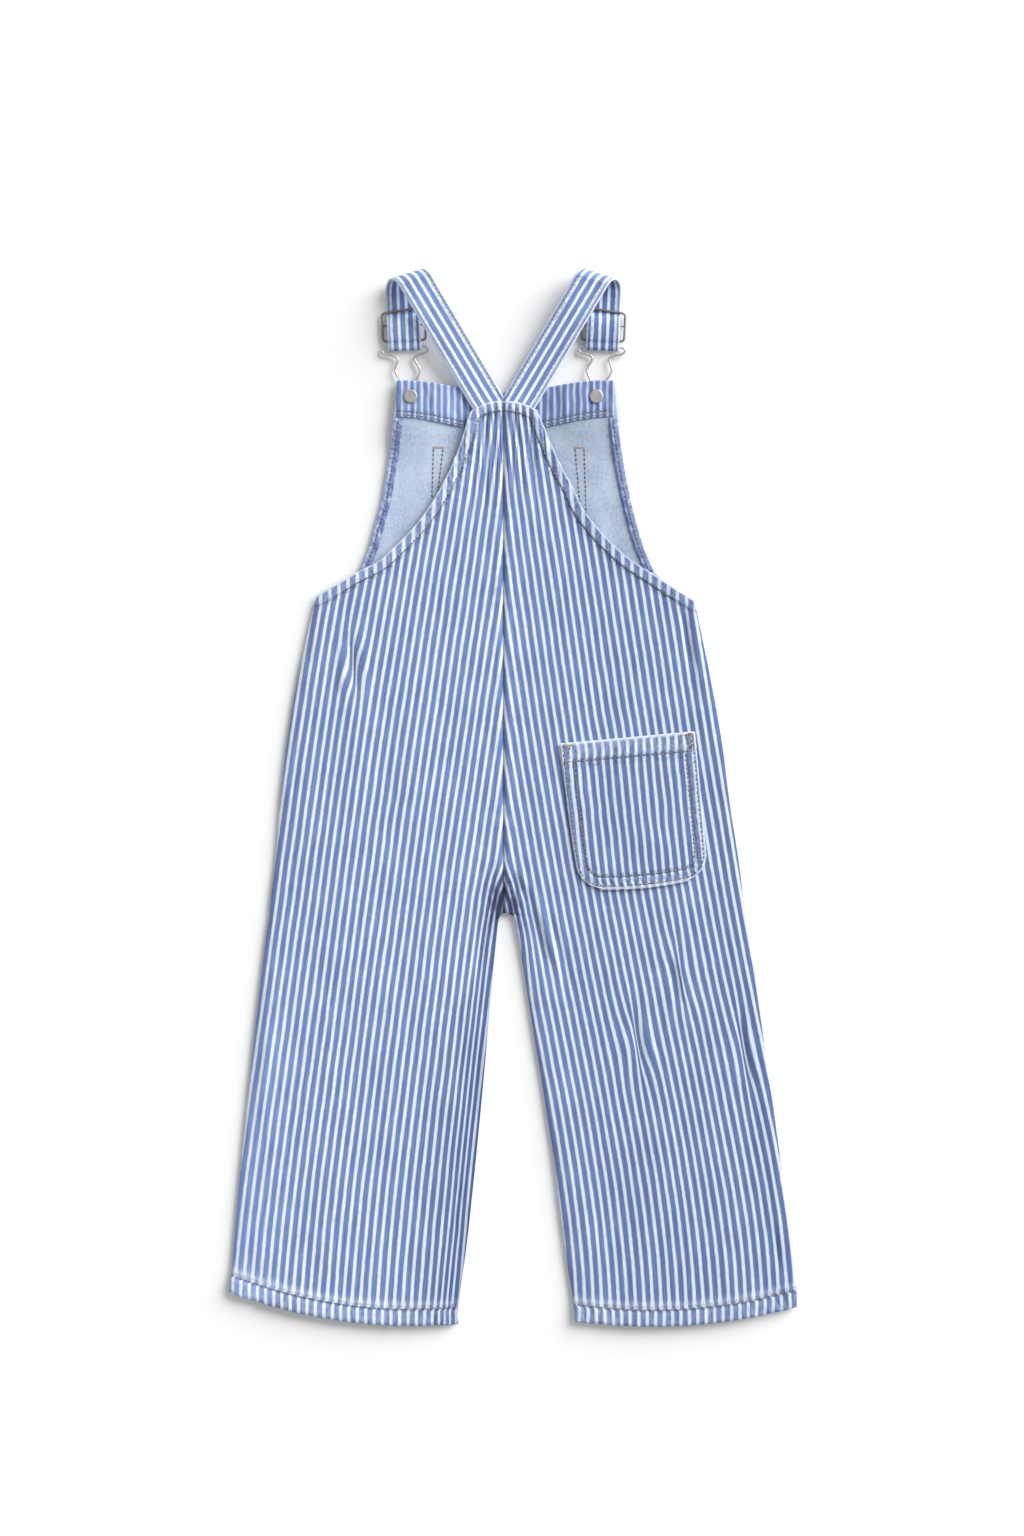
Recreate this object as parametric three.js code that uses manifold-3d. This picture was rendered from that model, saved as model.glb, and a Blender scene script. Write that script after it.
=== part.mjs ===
// Kids' bib overalls in striped denim, laid flat on their front so that the back shows.
// Millimetres. X runs across the garment, Y from the leg hems towards the straps, Z up from the surface.
// The origin is on the surface, under the middle of the garment's outline.
// The front lies lowest, the back lies over it, and each strap folds over at the shoulder to its buckle.
import * as THREE from "three";
import { mergeVertices } from "three/addons/utils/BufferGeometryUtils.js";
import Module from "manifold-3d";

const wasm = await Module();
wasm.setup();

// Driving dimensions
const cloth = 1.5; // one layer of denim
const turnedHem = 0.9; // what a turned hem adds to the cloth
const seamGap = 0.3; // between pieces that are sewn or lie together
const middleX = 7.6; // the centre seams, from the middle of the outline
const middleY = -425; // the level of the hems' lowest point, from the middle of the outline

const strap = { width: 26, thick: 1.6, lean: 31, drop: 2.5, foldRadius: 8, foldZ: 1.5, drift: 5.5, across: 4 };
const wire = { radius: 0.9, sides: 6, z: 2.8 };
const buckle = { halfWidth: 17.2, topBar: 18, middleBar: 30, lowBar: 42.5, hookBar: 47.5, slant: -1.6, swing: 4.4 };
const button = { inHook: 40.2, head: 7.5, shank: 2.4, post: 1.4, disc: 5.5 };
const buttonLift = 4.6; // the bib stands this high over a button's head and the hook round its shank
const chestPocket = { x: 4, top: 706, bottom: 592, width: 120, thick: 1.0, corner: 14 };
const backPocket = { x: 99.2, y: 472.2, width: 108, height: 116, corner: 24, turn: 5.4, hem: 16 };
const waist = 500; // the seam between the bib and the front legs
const bibHem = { width: 5.5, thick: 1.0, start: 606, end: 730 };
const facing = { thick: 1.0, sideInset: 1 };

// A table written as named columns and one row for each section.
const table = (columns, rows) =>
  rows.map((row) => Object.fromEntries(columns.map((name, i) => [name, row[i]])));

// The back's left and right piece from the hem up. outerY is the height of a section at the side seam and the
// armhole, innerY at the inseam and the centre seam, sag how far its middle hangs below the two.
const backColumns = ["outerY", "outerX", "innerX", "innerY", "sag"];
const outline = {
  left: table(backColumns, [
    [28.6, -219.6, -36.4, 3.5, 10.5],
    [42.5, -217.6, -36.4, 16.5, 8.8],
    [86.4, -214.0, -29.2, 70.4, 6],
    [158.4, -207.2, -21.0, 148.0, 5],
    [254.4, -196.8, -11.7, 248.0, 3],
    [310.4, -190.0, -6.4, 307.2, 1],
    [329.0, -187.3, -3.8, 328.0, 0],
    [340.0, -186.3, -0.2, 340.0, 0],
    [374.4, -182.4, -0.2, 374.4, 0],
    [422.4, -178.4, -0.2, 422.4, 0],
    [470.4, -172.8, -0.2, 470.4, 0],
    [518.4, -164.8, -0.2, 518.4, 0],
    [566.4, -154.4, -0.2, 566.4, 0],
    [586.0, -148.8, -0.2, 586.0, 0],
    [597.3, -129.6, -0.2, 598.0, 0],
    [606.0, -114.7, -0.2, 608.0, 0],
    [613.2, -100.0, -0.2, 617.0, 0],
    [627.3, -84.6, -0.2, 632.0, 0],
    [641.0, -71.4, -0.2, 646.0, 0],
    [656.2, -59.8, -0.2, 661.0, 0],
    [672.0, -50.2, -0.2, 677.0, 0],
    [691.0, -40.8, -0.2, 697.0, 0],
    [712.0, -32.8, -0.2, 718.0, 0],
    [727.0, -28.4, -0.2, 734.0, -1],
    [733.5, -25.6, -0.2, 741.0, -2.2],
  ]),
  right: table(backColumns, [
    [17.0, 234.8, 57.6, 5.5, 9.2],
    [31.0, 234.6, 56.4, 19.0, 8.4],
    [86.4, 227.6, 48.0, 74.0, 7],
    [158.4, 218.4, 38.2, 150.0, 5],
    [254.4, 204.8, 22.4, 249.0, 3],
    [310.4, 196.6, 12.8, 308.0, 1],
    [329.0, 194.0, 8.2, 329.0, 0],
    [340.0, 192.4, 0.2, 340.0, 0],
    [374.4, 188.0, 0.2, 374.4, 0],
    [422.4, 180.8, 0.2, 422.4, 0],
    [470.4, 174.4, 0.2, 470.4, 0],
    [518.4, 165.8, 0.2, 518.4, 0],
    [566.4, 156.0, 0.2, 566.4, 0],
    [582.0, 152.6, 0.2, 582.0, 0],
    [593.0, 134.6, 0.2, 594.0, 0],
    [604.0, 118.0, 0.2, 606.0, 0],
    [615.0, 100.8, 0.2, 618.0, 0],
    [630.0, 84.0, 0.2, 633.0, 0],
    [642.6, 72.8, 0.2, 647.0, 0],
    [656.2, 62.6, 0.2, 661.0, 0],
    [672.0, 55.4, 0.2, 677.0, 0],
    [691.0, 45.0, 0.2, 697.0, 0],
    [712.0, 35.6, 0.2, 718.0, 0],
    [727.0, 29.8, 0.2, 734.0, -1],
    [733.5, 26.8, 0.2, 741.0, -2.2],
  ]),
};
const underarmRow = 13; // where the side seam ends and the armhole begins
const crotchRow = 6; // the highest section of the leg tubes

// How the back's outer face stands over the surface at those sections: at its outer edge, in the middle of the
// piece and at its inner edge, with the width along the section that the edge's hem takes.
const lie = table(
  ["edge", "crown", "inner", "band", "rolled"],
  [
    [4.2, 7.4, 4.2, 8, 1],
    [3.0, 6.8, 3.0, 8, 1],
    [2.7, 6.4, 2.7, 8, 1],
    [2.7, 6.5, 2.7, 8, 1],
    [2.7, 6.5, 2.7, 8, 1],
    [2.7, 6.3, 3.0, 8, 1],
    [2.7, 6.2, 3.8, 8, 1],
    [2.7, 6.2, 4.6, 8, 1],
    [2.7, 6.4, 5.2, 8, 1],
    [2.7, 6.7, 5.8, 8, 1],
    [2.7, 6.7, 6.0, 8, 1],
    [2.7, 6.5, 6.0, 8, 1],
    [2.8, 6.3, 5.9, 10, 1],
    [3.4, 6.3, 5.9, 16, 0.6],
    [5.4, 6.4, 6.0, 16, 0.2],
    [6.0, 6.6, 6.1, 15, 0],
    [6.2, 6.7, 6.2, 14, 0],
    [6.4, 6.8, 6.3, 12, 0],
    [6.4, 6.9, 6.5, 10.5, 0],
    [6.6, 7.1, 6.7, 9.6, 0],
    [6.8, 7.4, 7.0, 9, 0],
    [7.2, 7.8, 7.4, 8.6, 0],
    [7.8, 8.5, 8.2, 8.2, 0],
    [8.8, 9.2, 9.2, 8, 0],
    [9.0, 9.3, 9.3, 8, 0],
  ],
);

// Creases and soft ridges that the cloth has taken: from one end to the other, with width and height.
const folds = table(
  ["x0", "y0", "x1", "y1", "width", "height"],
  [
    [18, 366, 42, 286, 9, -1.9],
    [30, 366, 58, 280, 11, 1.0],
    [-16, 340, -30, 250, 12, -1.3],
    [-122, 560, -126, 500, 9, -1.6],
    [-112, 566, -114, 506, 9, 0.9],
    [138, 306, 150, 258, 10, 1.0],
    [128, 300, 138, 252, 10, -1.4],
    [106, 246, 118, 200, 10, -1.3],
    [188, 250, 204, 150, 12, -1.4],
    [146, 578, 158, 500, 11, -1.4],
    [-180, 300, -196, 150, 14, 0.8],
    [-60, 300, -84, 120, 22, 0.7],
    [118, 200, 140, 60, 20, 0.7],
  ],
);
const gathers = { perSide: 4, depth: 1.0, reach: 70 };

// The bib's side edges, from the waist seam to its top.
const bibSides = table(
  ["y", "left", "right"],
  [
    [500, -168.2, 169.4],
    [540, -160.4, 161.6],
    [566, -154.4, 156.0],
    [582, -149.6, 152.6],
    [592, -131.0, 136.0],
    [604, -116.4, 121.6],
    [624, -108.0, 112.8],
    [643, -103.0, 107.2],
    [662, -97.6, 102.4],
    [682, -94.4, 98.4],
    [701, -91.2, 95.2],
    [718, -89.4, 92.8],
    [738, -87.0, 90.4],
    [758, -85.0, 88.6],
  ],
);
const bibTop = { corner: 758, middle: 749 };
const facingBottom = { corner: 733, middle: 720.5 };

// Finishes
const denim = { color: 0x8ea5d6, roughness: 0.9 };
const wrongSide = { color: 0xb9c8e2, roughness: 0.92 };
const steel = { color: 0xaaa9a8, roughness: 0.38, metalness: 0.9 };

const overalls = new THREE.Group();
const body = new THREE.Group();
body.position.set(-middleX, middleY, 0);
overalls.add(body);

function piece(name, geometry, finish) {
  const mesh = new THREE.Mesh(geometry, new THREE.MeshStandardMaterial(finish));
  mesh.name = name;
  body.add(mesh);
}

// Small mathematics
const mix = (a, b, t) => a + (b - a) * t;
const clamp01 = (t) => Math.min(Math.max(t, 0), 1);
const ease = (t) => clamp01(t) ** 2 * (3 - 2 * clamp01(t));
const quarterRound = (t) => Math.sqrt(1 - (1 - clamp01(t)) ** 2);
const radians = (degrees) => (degrees * Math.PI) / 180;
const evenly = (count) => Array.from({ length: count + 1 }, (_, i) => i / count);

// A column of a table at a place between its rows, smooth but for one-sided slopes at the corner rows.
function smoothAt(rows, column, place, corners = []) {
  const i = Math.min(Math.floor(place), rows.length - 2);
  const t = place - i;
  const value = (k) => rows[k][column];
  const step = value(i + 1) - value(i);
  const slopeAt = (k, inward) => {
    const atEnd = k === 0 || k === rows.length - 1 || corners.includes(k);
    return atEnd ? inward : (value(k + 1) - value(k - 1)) / 2;
  };
  const a = slopeAt(i, step);
  const b = slopeAt(i + 1, step);
  const [t2, t3] = [t * t, t * t * t];
  return (
    value(i) * (2 * t3 - 3 * t2 + 1) + a * (t3 - 2 * t2 + t) +
    value(i + 1) * (3 * t2 - 2 * t3) + b * (t3 - t2)
  );
}

// The same table read straight across a value of its first column.
function straightAt(rows, key, column, at) {
  const above = rows.findIndex((row) => row[key] >= at);
  const i = above < 0 ? rows.length - 2 : Math.max(0, above - 1);
  const [a, b] = [rows[i], rows[i + 1]];
  return mix(a[column], b[column], (at - a[key]) / (b[key] - a[key]));
}

// A closed solid from points and triangles, turned so that its faces look outwards.
function solid(points, faces) {
  let volume = 0;
  for (let i = 0; i < faces.length; i += 3) {
    const [a, b, c] = [points[faces[i]], points[faces[i + 1]], points[faces[i + 2]]];
    volume += a.dot(b.clone().cross(c));
  }
  if (volume < 0) faces.reverse();
  const geometry = new THREE.BufferGeometry().setFromPoints(points);
  geometry.setIndex(faces);
  return geometry;
}

// A wall of cloth between two grids of points, one on each face.
function wall(outer, inner) {
  const [rows, columns] = [outer.length, outer[0].length];
  const at = (layer, i, j) => layer * rows * columns + i * columns + j;
  const faces = [];
  const quad = (a, b, c, d) => faces.push(a, b, c, a, c, d);
  for (let i = 0; i < rows - 1; i++)
    for (let j = 0; j < columns - 1; j++) {
      quad(at(0, i, j), at(0, i, j + 1), at(0, i + 1, j + 1), at(0, i + 1, j));
      quad(at(1, i, j), at(1, i + 1, j), at(1, i + 1, j + 1), at(1, i, j + 1));
    }
  for (let i = 0; i < rows - 1; i++) {
    quad(at(0, i, 0), at(0, i + 1, 0), at(1, i + 1, 0), at(1, i, 0));
    quad(at(0, i, columns - 1), at(1, i, columns - 1), at(1, i + 1, columns - 1), at(0, i + 1, columns - 1));
  }
  for (let j = 0; j < columns - 1; j++) {
    quad(at(0, 0, j), at(1, 0, j), at(1, 0, j + 1), at(0, 0, j + 1));
    quad(at(0, rows - 1, j), at(0, rows - 1, j + 1), at(1, rows - 1, j + 1), at(1, rows - 1, j));
  }
  return solid([...outer.flat(), ...inner.flat()], faces);
}

// The upward normals of a grid of points, from each point's neighbours.
function normals(grid) {
  const last = (list) => list.length - 1;
  return grid.map((row, i) =>
    row.map((_, j) => {
      const along = grid[Math.min(i + 1, last(grid))][j].clone().sub(grid[Math.max(i - 1, 0)][j]);
      const across = row[Math.min(j + 1, last(row))].clone().sub(row[Math.max(j - 1, 0)]);
      const normal = across.cross(along).normalize();
      return normal.z < 0 ? normal.negate() : normal;
    }),
  );
}

// Cloth lying on a height field: rows of plan points, lifted to the field and thickened upwards.
const blanket = (plan, bottom, thickness) =>
  wall(
    plan.map((row) => row.map(([x, y, extra = 0]) => new THREE.Vector3(x, y, bottom(x, y) + thickness + extra))),
    plan.map((row) => row.map(([x, y]) => new THREE.Vector3(x, y, bottom(x, y)))),
  );

// The height of a piece's upper face over a plan point, the highest within a small reach.
function heightOver(geometry, x, y, reach = 0) {
  const mesh = new THREE.Mesh(geometry);
  const heights = [[0, 0], [reach, 0], [-reach, 0], [0, reach], [0, -reach]].map(([dx, dy]) => {
    const ray = new THREE.Raycaster(new THREE.Vector3(x + dx, y + dy, 100), new THREE.Vector3(0, 0, -1));
    const [hit] = ray.intersectObject(mesh);
    return hit ? hit.point.z : 0;
  });
  return Math.max(...heights);
}

// A round wire along a closed line of points.
function ringOfWire(line) {
  const points = line.flatMap((p, i) => {
    const before = line[(i + line.length - 1) % line.length];
    const after = line[(i + 1) % line.length];
    const along = after.clone().sub(before).normalize();
    const side = along.clone().cross(new THREE.Vector3(0, 0, 1)).normalize();
    const up = side.clone().cross(along);
    return evenly(wire.sides).slice(1).map((share) => {
      const turn = 2 * Math.PI * share;
      return p.clone().addScaledVector(side, wire.radius * Math.cos(turn))
        .addScaledVector(up, wire.radius * Math.sin(turn));
    });
  });
  const faces = [];
  line.forEach((_, i) => {
    for (let k = 0; k < wire.sides; k++) {
      const [a, b] = [i * wire.sides + k, i * wire.sides + ((k + 1) % wire.sides)];
      const [c, d] = [a, b].map((n) => (n + wire.sides) % points.length);
      faces.push(a, b, d, a, d, c);
    }
  });
  return solid(points, faces);
}

function manifold(geometry) {
  const bare = geometry.clone();
  bare.deleteAttribute("normal");
  bare.deleteAttribute("uv");
  const merged = mergeVertices(bare, 1e-4);
  return new wasm.Manifold(
    new wasm.Mesh({
      numProp: 3,
      vertProperties: merged.attributes.position.array,
      triVerts: new Uint32Array(merged.index.array),
    }),
  );
}

function geometryOf(made) {
  const mesh = made.getMesh();
  const geometry = new THREE.BufferGeometry();
  geometry.setAttribute("position", new THREE.BufferAttribute(mesh.vertProperties, 3));
  geometry.setIndex(new THREE.BufferAttribute(mesh.triVerts, 1));
  return geometry;
}

// The front: bib, legs and what is sewn to them

// How far the bib is lifted off the surface by its pocket and, at its corners, by the buttons.
function bibLift(x, y) {
  const outside = Math.hypot(
    Math.max(Math.abs(x - chestPocket.x) - chestPocket.width / 2, 0),
    Math.max(y - chestPocket.top, chestPocket.bottom - y, 0),
  );
  const overPocket = (chestPocket.thick + seamGap) * (1 - ease((outside - 12) / 14));
  const fromButton = Math.hypot(Math.abs(x) - buttonAt.x, y - buttonAt.y);
  return mix(overPocket, buttonLift, 1 - ease((fromButton - 17) / 34));
}

const bibTopY = (x) => mix(bibTop.middle, bibTop.corner, ease(Math.abs(x) / 78));
const facingBottomY = (x) => mix(facingBottom.middle, facingBottom.corner, ease(Math.abs(x) / 86));

// The holes that the posts of the two buttons pass through.
function pierced(geometry) {
  const clearance = 0.35;
  const reach = 40;
  let made = manifold(geometry);
  for (const side of [-1, 1]) {
    const hole = new THREE.CylinderGeometry(button.post + clearance, button.post + clearance, reach, 10);
    hole.rotateX(Math.PI / 2).translate(side * buttonAt.x, buttonAt.y, 0);
    made = made.subtract(manifold(hole));
  }
  return geometryOf(made);
}

function bibPlan() {
  const levels = evenly(20).map((share) => mix(waist + seamGap, bibTop.corner, share ** 0.9));
  return levels.map((level) => {
    const left = straightAt(bibSides, "y", "left", level);
    const right = straightAt(bibSides, "y", "right", level);
    return evenly(20).map((share) => {
      const x = mix(left, right, share);
      const climb = ease((level - 640) / (bibTop.corner - 640));
      return [x, mix(level, Math.min(level, bibTopY(x) + level - bibTop.corner), climb)];
    });
  });
}

function facingPlan() {
  return evenly(3).map((rise) =>
    evenly(24).map((share) => {
      const x = mix(-86 + facing.sideInset, 89 - facing.sideInset, share);
      return [x, mix(facingBottomY(x), bibTopY(x) - 0.6, rise)];
    }),
  );
}

function bibHemPlan(side) {
  return evenly(9).map((share) => {
    const y = mix(bibHem.start, bibHem.end, share);
    const edge = straightAt(bibSides, "y", side < 0 ? "left" : "right", y);
    return [0.4, bibHem.width].map((inset) => [edge - side * inset, y]);
  });
}

// The front legs lie under the back's, with the same outline, and end at the waist seam. Their hems are turned.
function frontLegPlan(rows) {
  const inset = 0.4;
  const places = [0, 1, 1.04, 2, 3, 4, 5, 6, 7, 8, 9, 10];
  const side = Math.sign(rows[0].outerX);
  const plan = places.map((place) => {
    const at = Object.fromEntries(backColumns.map((name) => [name, smoothAt(rows, name, place)]));
    return evenly(7).map((share) => [
      mix(at.innerX, at.outerX - side * inset, share),
      mix(at.innerY, at.outerY, share) - at.sag * 4 * share * (1 - share),
      place <= 1 ? turnedHem : 0,
    ]);
  });
  const top = straightAt(bibSides, "y", side < 0 ? "left" : "right", waist);
  plan.push(evenly(7).map((share) => [mix(side * 0.2, top - side * inset, share), waist]));
  return plan;
}

// A flat outline with round lower corners, drawn from its upper left corner.
function pocketShape({ width, height, corner }) {
  const half = width / 2;
  const shape = new THREE.Shape();
  shape.moveTo(-half, 0);
  shape.lineTo(-half, corner - height);
  shape.absarc(corner - half, corner - height, corner, Math.PI, 1.5 * Math.PI);
  shape.absarc(half - corner, corner - height, corner, 1.5 * Math.PI, 2 * Math.PI);
  shape.lineTo(half, 0);
  return shape;
}

function chestPocketGeometry() {
  const size = { ...chestPocket, height: chestPocket.top - chestPocket.bottom };
  const geometry = new THREE.ExtrudeGeometry(pocketShape(size), {
    depth: chestPocket.thick, bevelEnabled: false, curveSegments: 6,
  });
  return geometry.translate(chestPocket.x, chestPocket.top, 0);
}

// The back: two pieces that run from the leg hems to the top between the straps

const foldHeight = (x, y) =>
  folds.reduce((sum, fold) => {
    const [dx, dy] = [fold.x1 - fold.x0, fold.y1 - fold.y0];
    const share = ((x - fold.x0) * dx + (y - fold.y0) * dy) / (dx * dx + dy * dy);
    const off = Math.abs((x - fold.x0) * dy - (y - fold.y0) * dx) / Math.hypot(dx, dy);
    const along = ease(share * 4) * ease((1 - share) * 4);
    return sum + fold.height * along * Math.exp(-((off / fold.width) ** 2) * 2);
  }, 0);

// A point of the outer face, by its place among the sections and its distance in from the inner edge as a share.
function backPoint(rows, place, share) {
  const corners = [underarmRow];
  const [outerX, outerY] = ["outerX", "outerY"].map((name) => smoothAt(rows, name, place, corners));
  const [innerX, innerY] = ["innerX", "innerY"].map((name) => smoothAt(rows, name, place, [crotchRow + 1]));
  const at = Object.fromEntries(Object.keys(lie[0]).map((name) => [name, smoothAt(lie, name, place)]));
  const width = Math.hypot(outerX - innerX, outerY - innerY);
  const x = mix(innerX, outerX, share);
  const y = mix(innerY, outerY, share) - smoothAt(rows, "sag", place) * 4 * share * (1 - share);
  const rise = (distance, rolled) =>
    mix(ease(distance / 38), 0.5 * quarterRound(distance / 12) + 0.5 * ease(distance / 60 + 0.1), rolled);
  const innerRolled = place <= crotchRow ? 1 : 1 - ease(place - crotchRow);
  const fromOuter = (at.crown - at.edge) * (1 - rise((1 - share) * width, at.rolled));
  const fromInner = (at.crown - at.inner) * (1 - rise(share * width, innerRolled));
  const topY = rows[rows.length - 1].innerY;
  const gather = ease(1 - (topY - y) / gathers.reach) * ease((topY - y) / 6);
  const ruffle = gathers.depth * gather * (0.5 - 0.5 * Math.cos(2 * Math.PI * gathers.perSide * share));
  const soft = ease(((1 - share) * width) / 20) * ease((share * width) / 12);
  return new THREE.Vector3(x, y, at.crown - fromOuter - fromInner + ruffle + soft * foldHeight(x, y));
}

// Shares across a section, closer together at its two edges.
function columnsAt(place) {
  const band = smoothAt(lie, "band", place);
  return (width) => {
    const inner = [0, 1.6, 5, 11].map((d) => Math.min(d, 0.4 * width * (d / 11)));
    const outer = [band + 4, band, band / 2, 1.4, 0].map((d) => width - Math.min(d, 0.45 * width));
    const between = evenly(8).slice(1, -1).map((t) => mix(inner[3], outer[0], t));
    return [...inner, ...between, ...outer].map((d) => d / width);
  };
}

function backGeometry(rows) {
  const last = rows.length - 1;
  const places = rows.flatMap((row, i) => {
    const tall = i < last && rows[i + 1].innerY - row.innerY > 28;
    return [i, ...(i === 1 ? [1.04] : []), ...(i === last - 2 ? [last - 1.1] : []), ...(tall ? [i + 0.5] : [])];
  });
  const thickness = [];
  const lowest = [];
  const outer = places.map((place) => {
    const width = Math.abs(smoothAt(rows, "outerX", place) - smoothAt(rows, "innerX", place));
    const shares = columnsAt(place)(width);
    const hemmed = place <= 1 || place >= last - 1 ? 1 : 0;
    const armholeHem = ease((place - underarmRow + 0.5) * 2);
    thickness.push(
      shares.map((_, j) => cloth + turnedHem * Math.max(hemmed, j >= shares.length - 4 ? armholeHem : 0)),
    );
    const points = shares.map((share) => backPoint(rows, place, share));
    lowest.push(points.map((p) => lowestInside(p.x, p.y, place)));
    return points;
  });
  outer.forEach((row, i) =>
    row.forEach((p, j) => {
      const atEdge = j === row.length - 1 || (j === 0 && places[i] <= crotchRow);
      const extra = thickness[i][j] - cloth;
      p.z = Math.max(p.z + extra * 0.4, lowest[i][j] + thickness[i][j] * (atEdge ? 0.6 : 1));
    }),
  );
  const up = normals(outer);
  const inner = outer.map((row, i) =>
    row.map((p, j) => {
      const q = p.clone().addScaledVector(up[i][j], -thickness[i][j]);
      return q.setZ(Math.max(q.z, lowest[i][j]));
    }),
  );
  return wall(outer, inner);
}

// The lowest that the back's inner face may lie: just clear of the front, its hems and the strap ends.
function lowestInside(x, y, place) {
  if (place <= 1.04) return cloth + turnedHem + seamGap;
  if (place <= underarmRow) return cloth + seamGap + bibLift(x, y);
  const overHems = bibHem.thick + seamGap;
  const overStraps = ease((y - 716) / 10) * (facing.thick + strap.thick + 2 * seamGap - overHems);
  return bibLift(x, y) + cloth + seamGap + overHems * ease((place - underarmRow) / 0.6) + overStraps;
}

// The back pocket lies on the right piece and follows it; its top hem is turned and thicker.
function backPocketGeometry(panel) {
  const { x, y, width, height, corner, turn, hem } = backPocket;
  const [c, s] = [Math.cos(radians(turn)), Math.sin(radians(turn))];
  const depths = [0, 0.07, 0.14, 0.2, 0.32, 0.45, 0.58, 0.7, 0.8, 0.87, 0.93, 0.97, 1];
  const inner = [];
  const outer = depths.map((depth) => {
    const down = depth * height;
    const cut = Math.max(down - (height - corner), 0);
    const half = width / 2 - corner + Math.sqrt(corner ** 2 - cut ** 2);
    const rows = evenly(12).map((share) => {
      const across = mix(-half, half, share);
      const px = x + across * c + down * s;
      const py = y + across * s * 0.95 - down * c;
      return new THREE.Vector3(px, py, heightOver(panel, px, py) + seamGap + 0.15);
    });
    inner.push(rows);
    const thick = cloth + (down <= hem ? turnedHem * 0.8 : 0);
    return rows.map((p) => p.clone().setZ(p.z + thick));
  });
  return wall(outer, inner);
}

// Straps, buckles and buttons. Each side is worked out for the right hand and mirrored for the left.

const along = { up: new THREE.Vector2(Math.sin(radians(strap.lean)), Math.cos(radians(strap.lean))) };
along.down = new THREE.Vector2(-Math.sin(radians(strap.drop)), -Math.cos(radians(strap.drop)));
along.crease = along.up.clone().add(along.down).normalize();
along.out = new THREE.Vector2(-along.crease.y, along.crease.x);
const strapPasses = new THREE.Vector2(37.6, 782.4); // a point on the middle of the strap's back stretch
const foldOutline = 829.5; // how far the fold reaches along its own outward direction
const foldAxis = foldOutline - strap.foldRadius - strap.thick / 2;
const toFold = (foldAxis - strapPasses.dot(along.out)) / along.up.dot(along.out);
const roundFold = (Math.PI * strap.foldRadius) / along.up.dot(along.out);
const foldEnd = strapPasses.clone().addScaledVector(along.up, toFold)
  .addScaledVector(along.crease, roundFold * along.up.dot(along.crease) + strap.drift);
const acrossDown = new THREE.Vector2(-along.down.y, along.down.x);

// The strap's middle line below the fold, as distance down and height: under the slide's top bar, over its middle
// bar, round the hook's bar and back to the middle bar, where its end is sewn.
function turnAround(down, z, radius, from, to) {
  return evenly(6).map((share) => {
    const turn = radians(mix(from, to, share));
    return [down + radius * Math.cos(turn), z + radius * Math.sin(turn)];
  });
}
const wrap = wire.radius + seamGap + strap.thick / 2;
const lowLayer = wire.z - wrap;
const threaded = [
  [5, 1.3], [10, 1.0], [15, lowLayer], [19.4, lowLayer + 0.1], [22.4, 2.4], [25.6, 5.4], [28.6, 6.7], [32, 6.9],
  [36, 6.8], [40, 6.3], [44, 5.3],
  ...turnAround(buckle.hookBar, wire.z, wrap, 90, -90),
  [42, lowLayer], [36, lowLayer],
  ...turnAround(buckle.middleBar, wire.z, wrap, -90, -270),
  [33, 4.75], [37.5, 4.6],
];

// A face of the strap: the point at a station along it, at a distance across, off its middle by half the thickness.
function strapGrid(side, face) {
  const offset = (face * strap.thick) / 2;
  const shares = evenly(strap.across).map((share) => (share - 0.5) * strap.width);
  const acrossUp = new THREE.Vector2(along.up.y, -along.up.x);
  const end = { x: 0.25, y: 729 };
  const startOf = (w) => {
    const edge = strapPasses.clone().addScaledVector(acrossUp, w);
    return Math.max((end.x - edge.x) / along.up.x, (end.y - edge.y) / along.up.y);
  };
  const place = (w, distance) => {
    const flat = strapPasses.clone().addScaledVector(acrossUp, w).addScaledVector(along.up, distance);
    const past = flat.dot(along.out) - foldAxis;
    const slope = ease((distance + 52) / (toFold + 52 + 14));
    if (past <= 0) {
      const z = mix(5.8, strap.foldZ + 2 * strap.foldRadius, slope);
      return new THREE.Vector3(flat.x, flat.y, z + offset);
    }
    const turn = past / strap.foldRadius;
    const reach = (strap.foldRadius + offset) * Math.sin(turn) - past;
    flat.addScaledVector(along.out, reach).addScaledVector(along.crease, strap.drift * ease(turn / Math.PI));
    const z = strap.foldZ + strap.foldRadius + (strap.foldRadius + offset) * Math.cos(turn);
    return new THREE.Vector3(flat.x, flat.y, z);
  };
  const creaseAt = (w) => {
    const edge = strapPasses.clone().addScaledVector(acrossUp, w);
    return (foldAxis - edge.dot(along.out)) / along.up.dot(along.out);
  };
  const back = evenly(12).slice(0, -1).map((share) =>
    shares.map((w) => place(w, mix(startOf(w), creaseAt(w), share))),
  );
  const fold = evenly(9).map((share) => shares.map((w) => place(w, creaseAt(w) + share * roundFold * 0.9999)));
  const line = [[0, strap.foldZ], ...threaded];
  const front = line.slice(1).map(([down, z], k) => {
    const before = line[k];
    const after = line[Math.min(k + 2, line.length - 1)];
    const tangent = new THREE.Vector2(after[0] - before[0], after[1] - before[1]).normalize();
    return shares.map((w) => {
      const skew = creaseSkew(w) * Math.max(0, 1 - down / 18);
      const at = foldEnd.clone().addScaledVector(along.down, down + tangent.y * offset + skew)
        .addScaledVector(acrossDown, w);
      return new THREE.Vector3(at.x, at.y, z - tangent.x * offset);
    });
  });
  return [...back, ...fold, ...front].map((row) => row.map((p) => new THREE.Vector3(side * p.x, p.y, p.z)));
}
// The fold's crease is slanted, so each line along the strap leaves it at its own height.
function creaseSkew(w) {
  return (w * along.crease.dot(along.down)) / along.crease.dot(acrossDown);
}

const onStrap = (side, across, down, z) => {
  const at = foldEnd.clone().addScaledVector(along.down, down).addScaledVector(acrossDown, across);
  return new THREE.Vector3(side * at.x, at.y, z);
};

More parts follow.
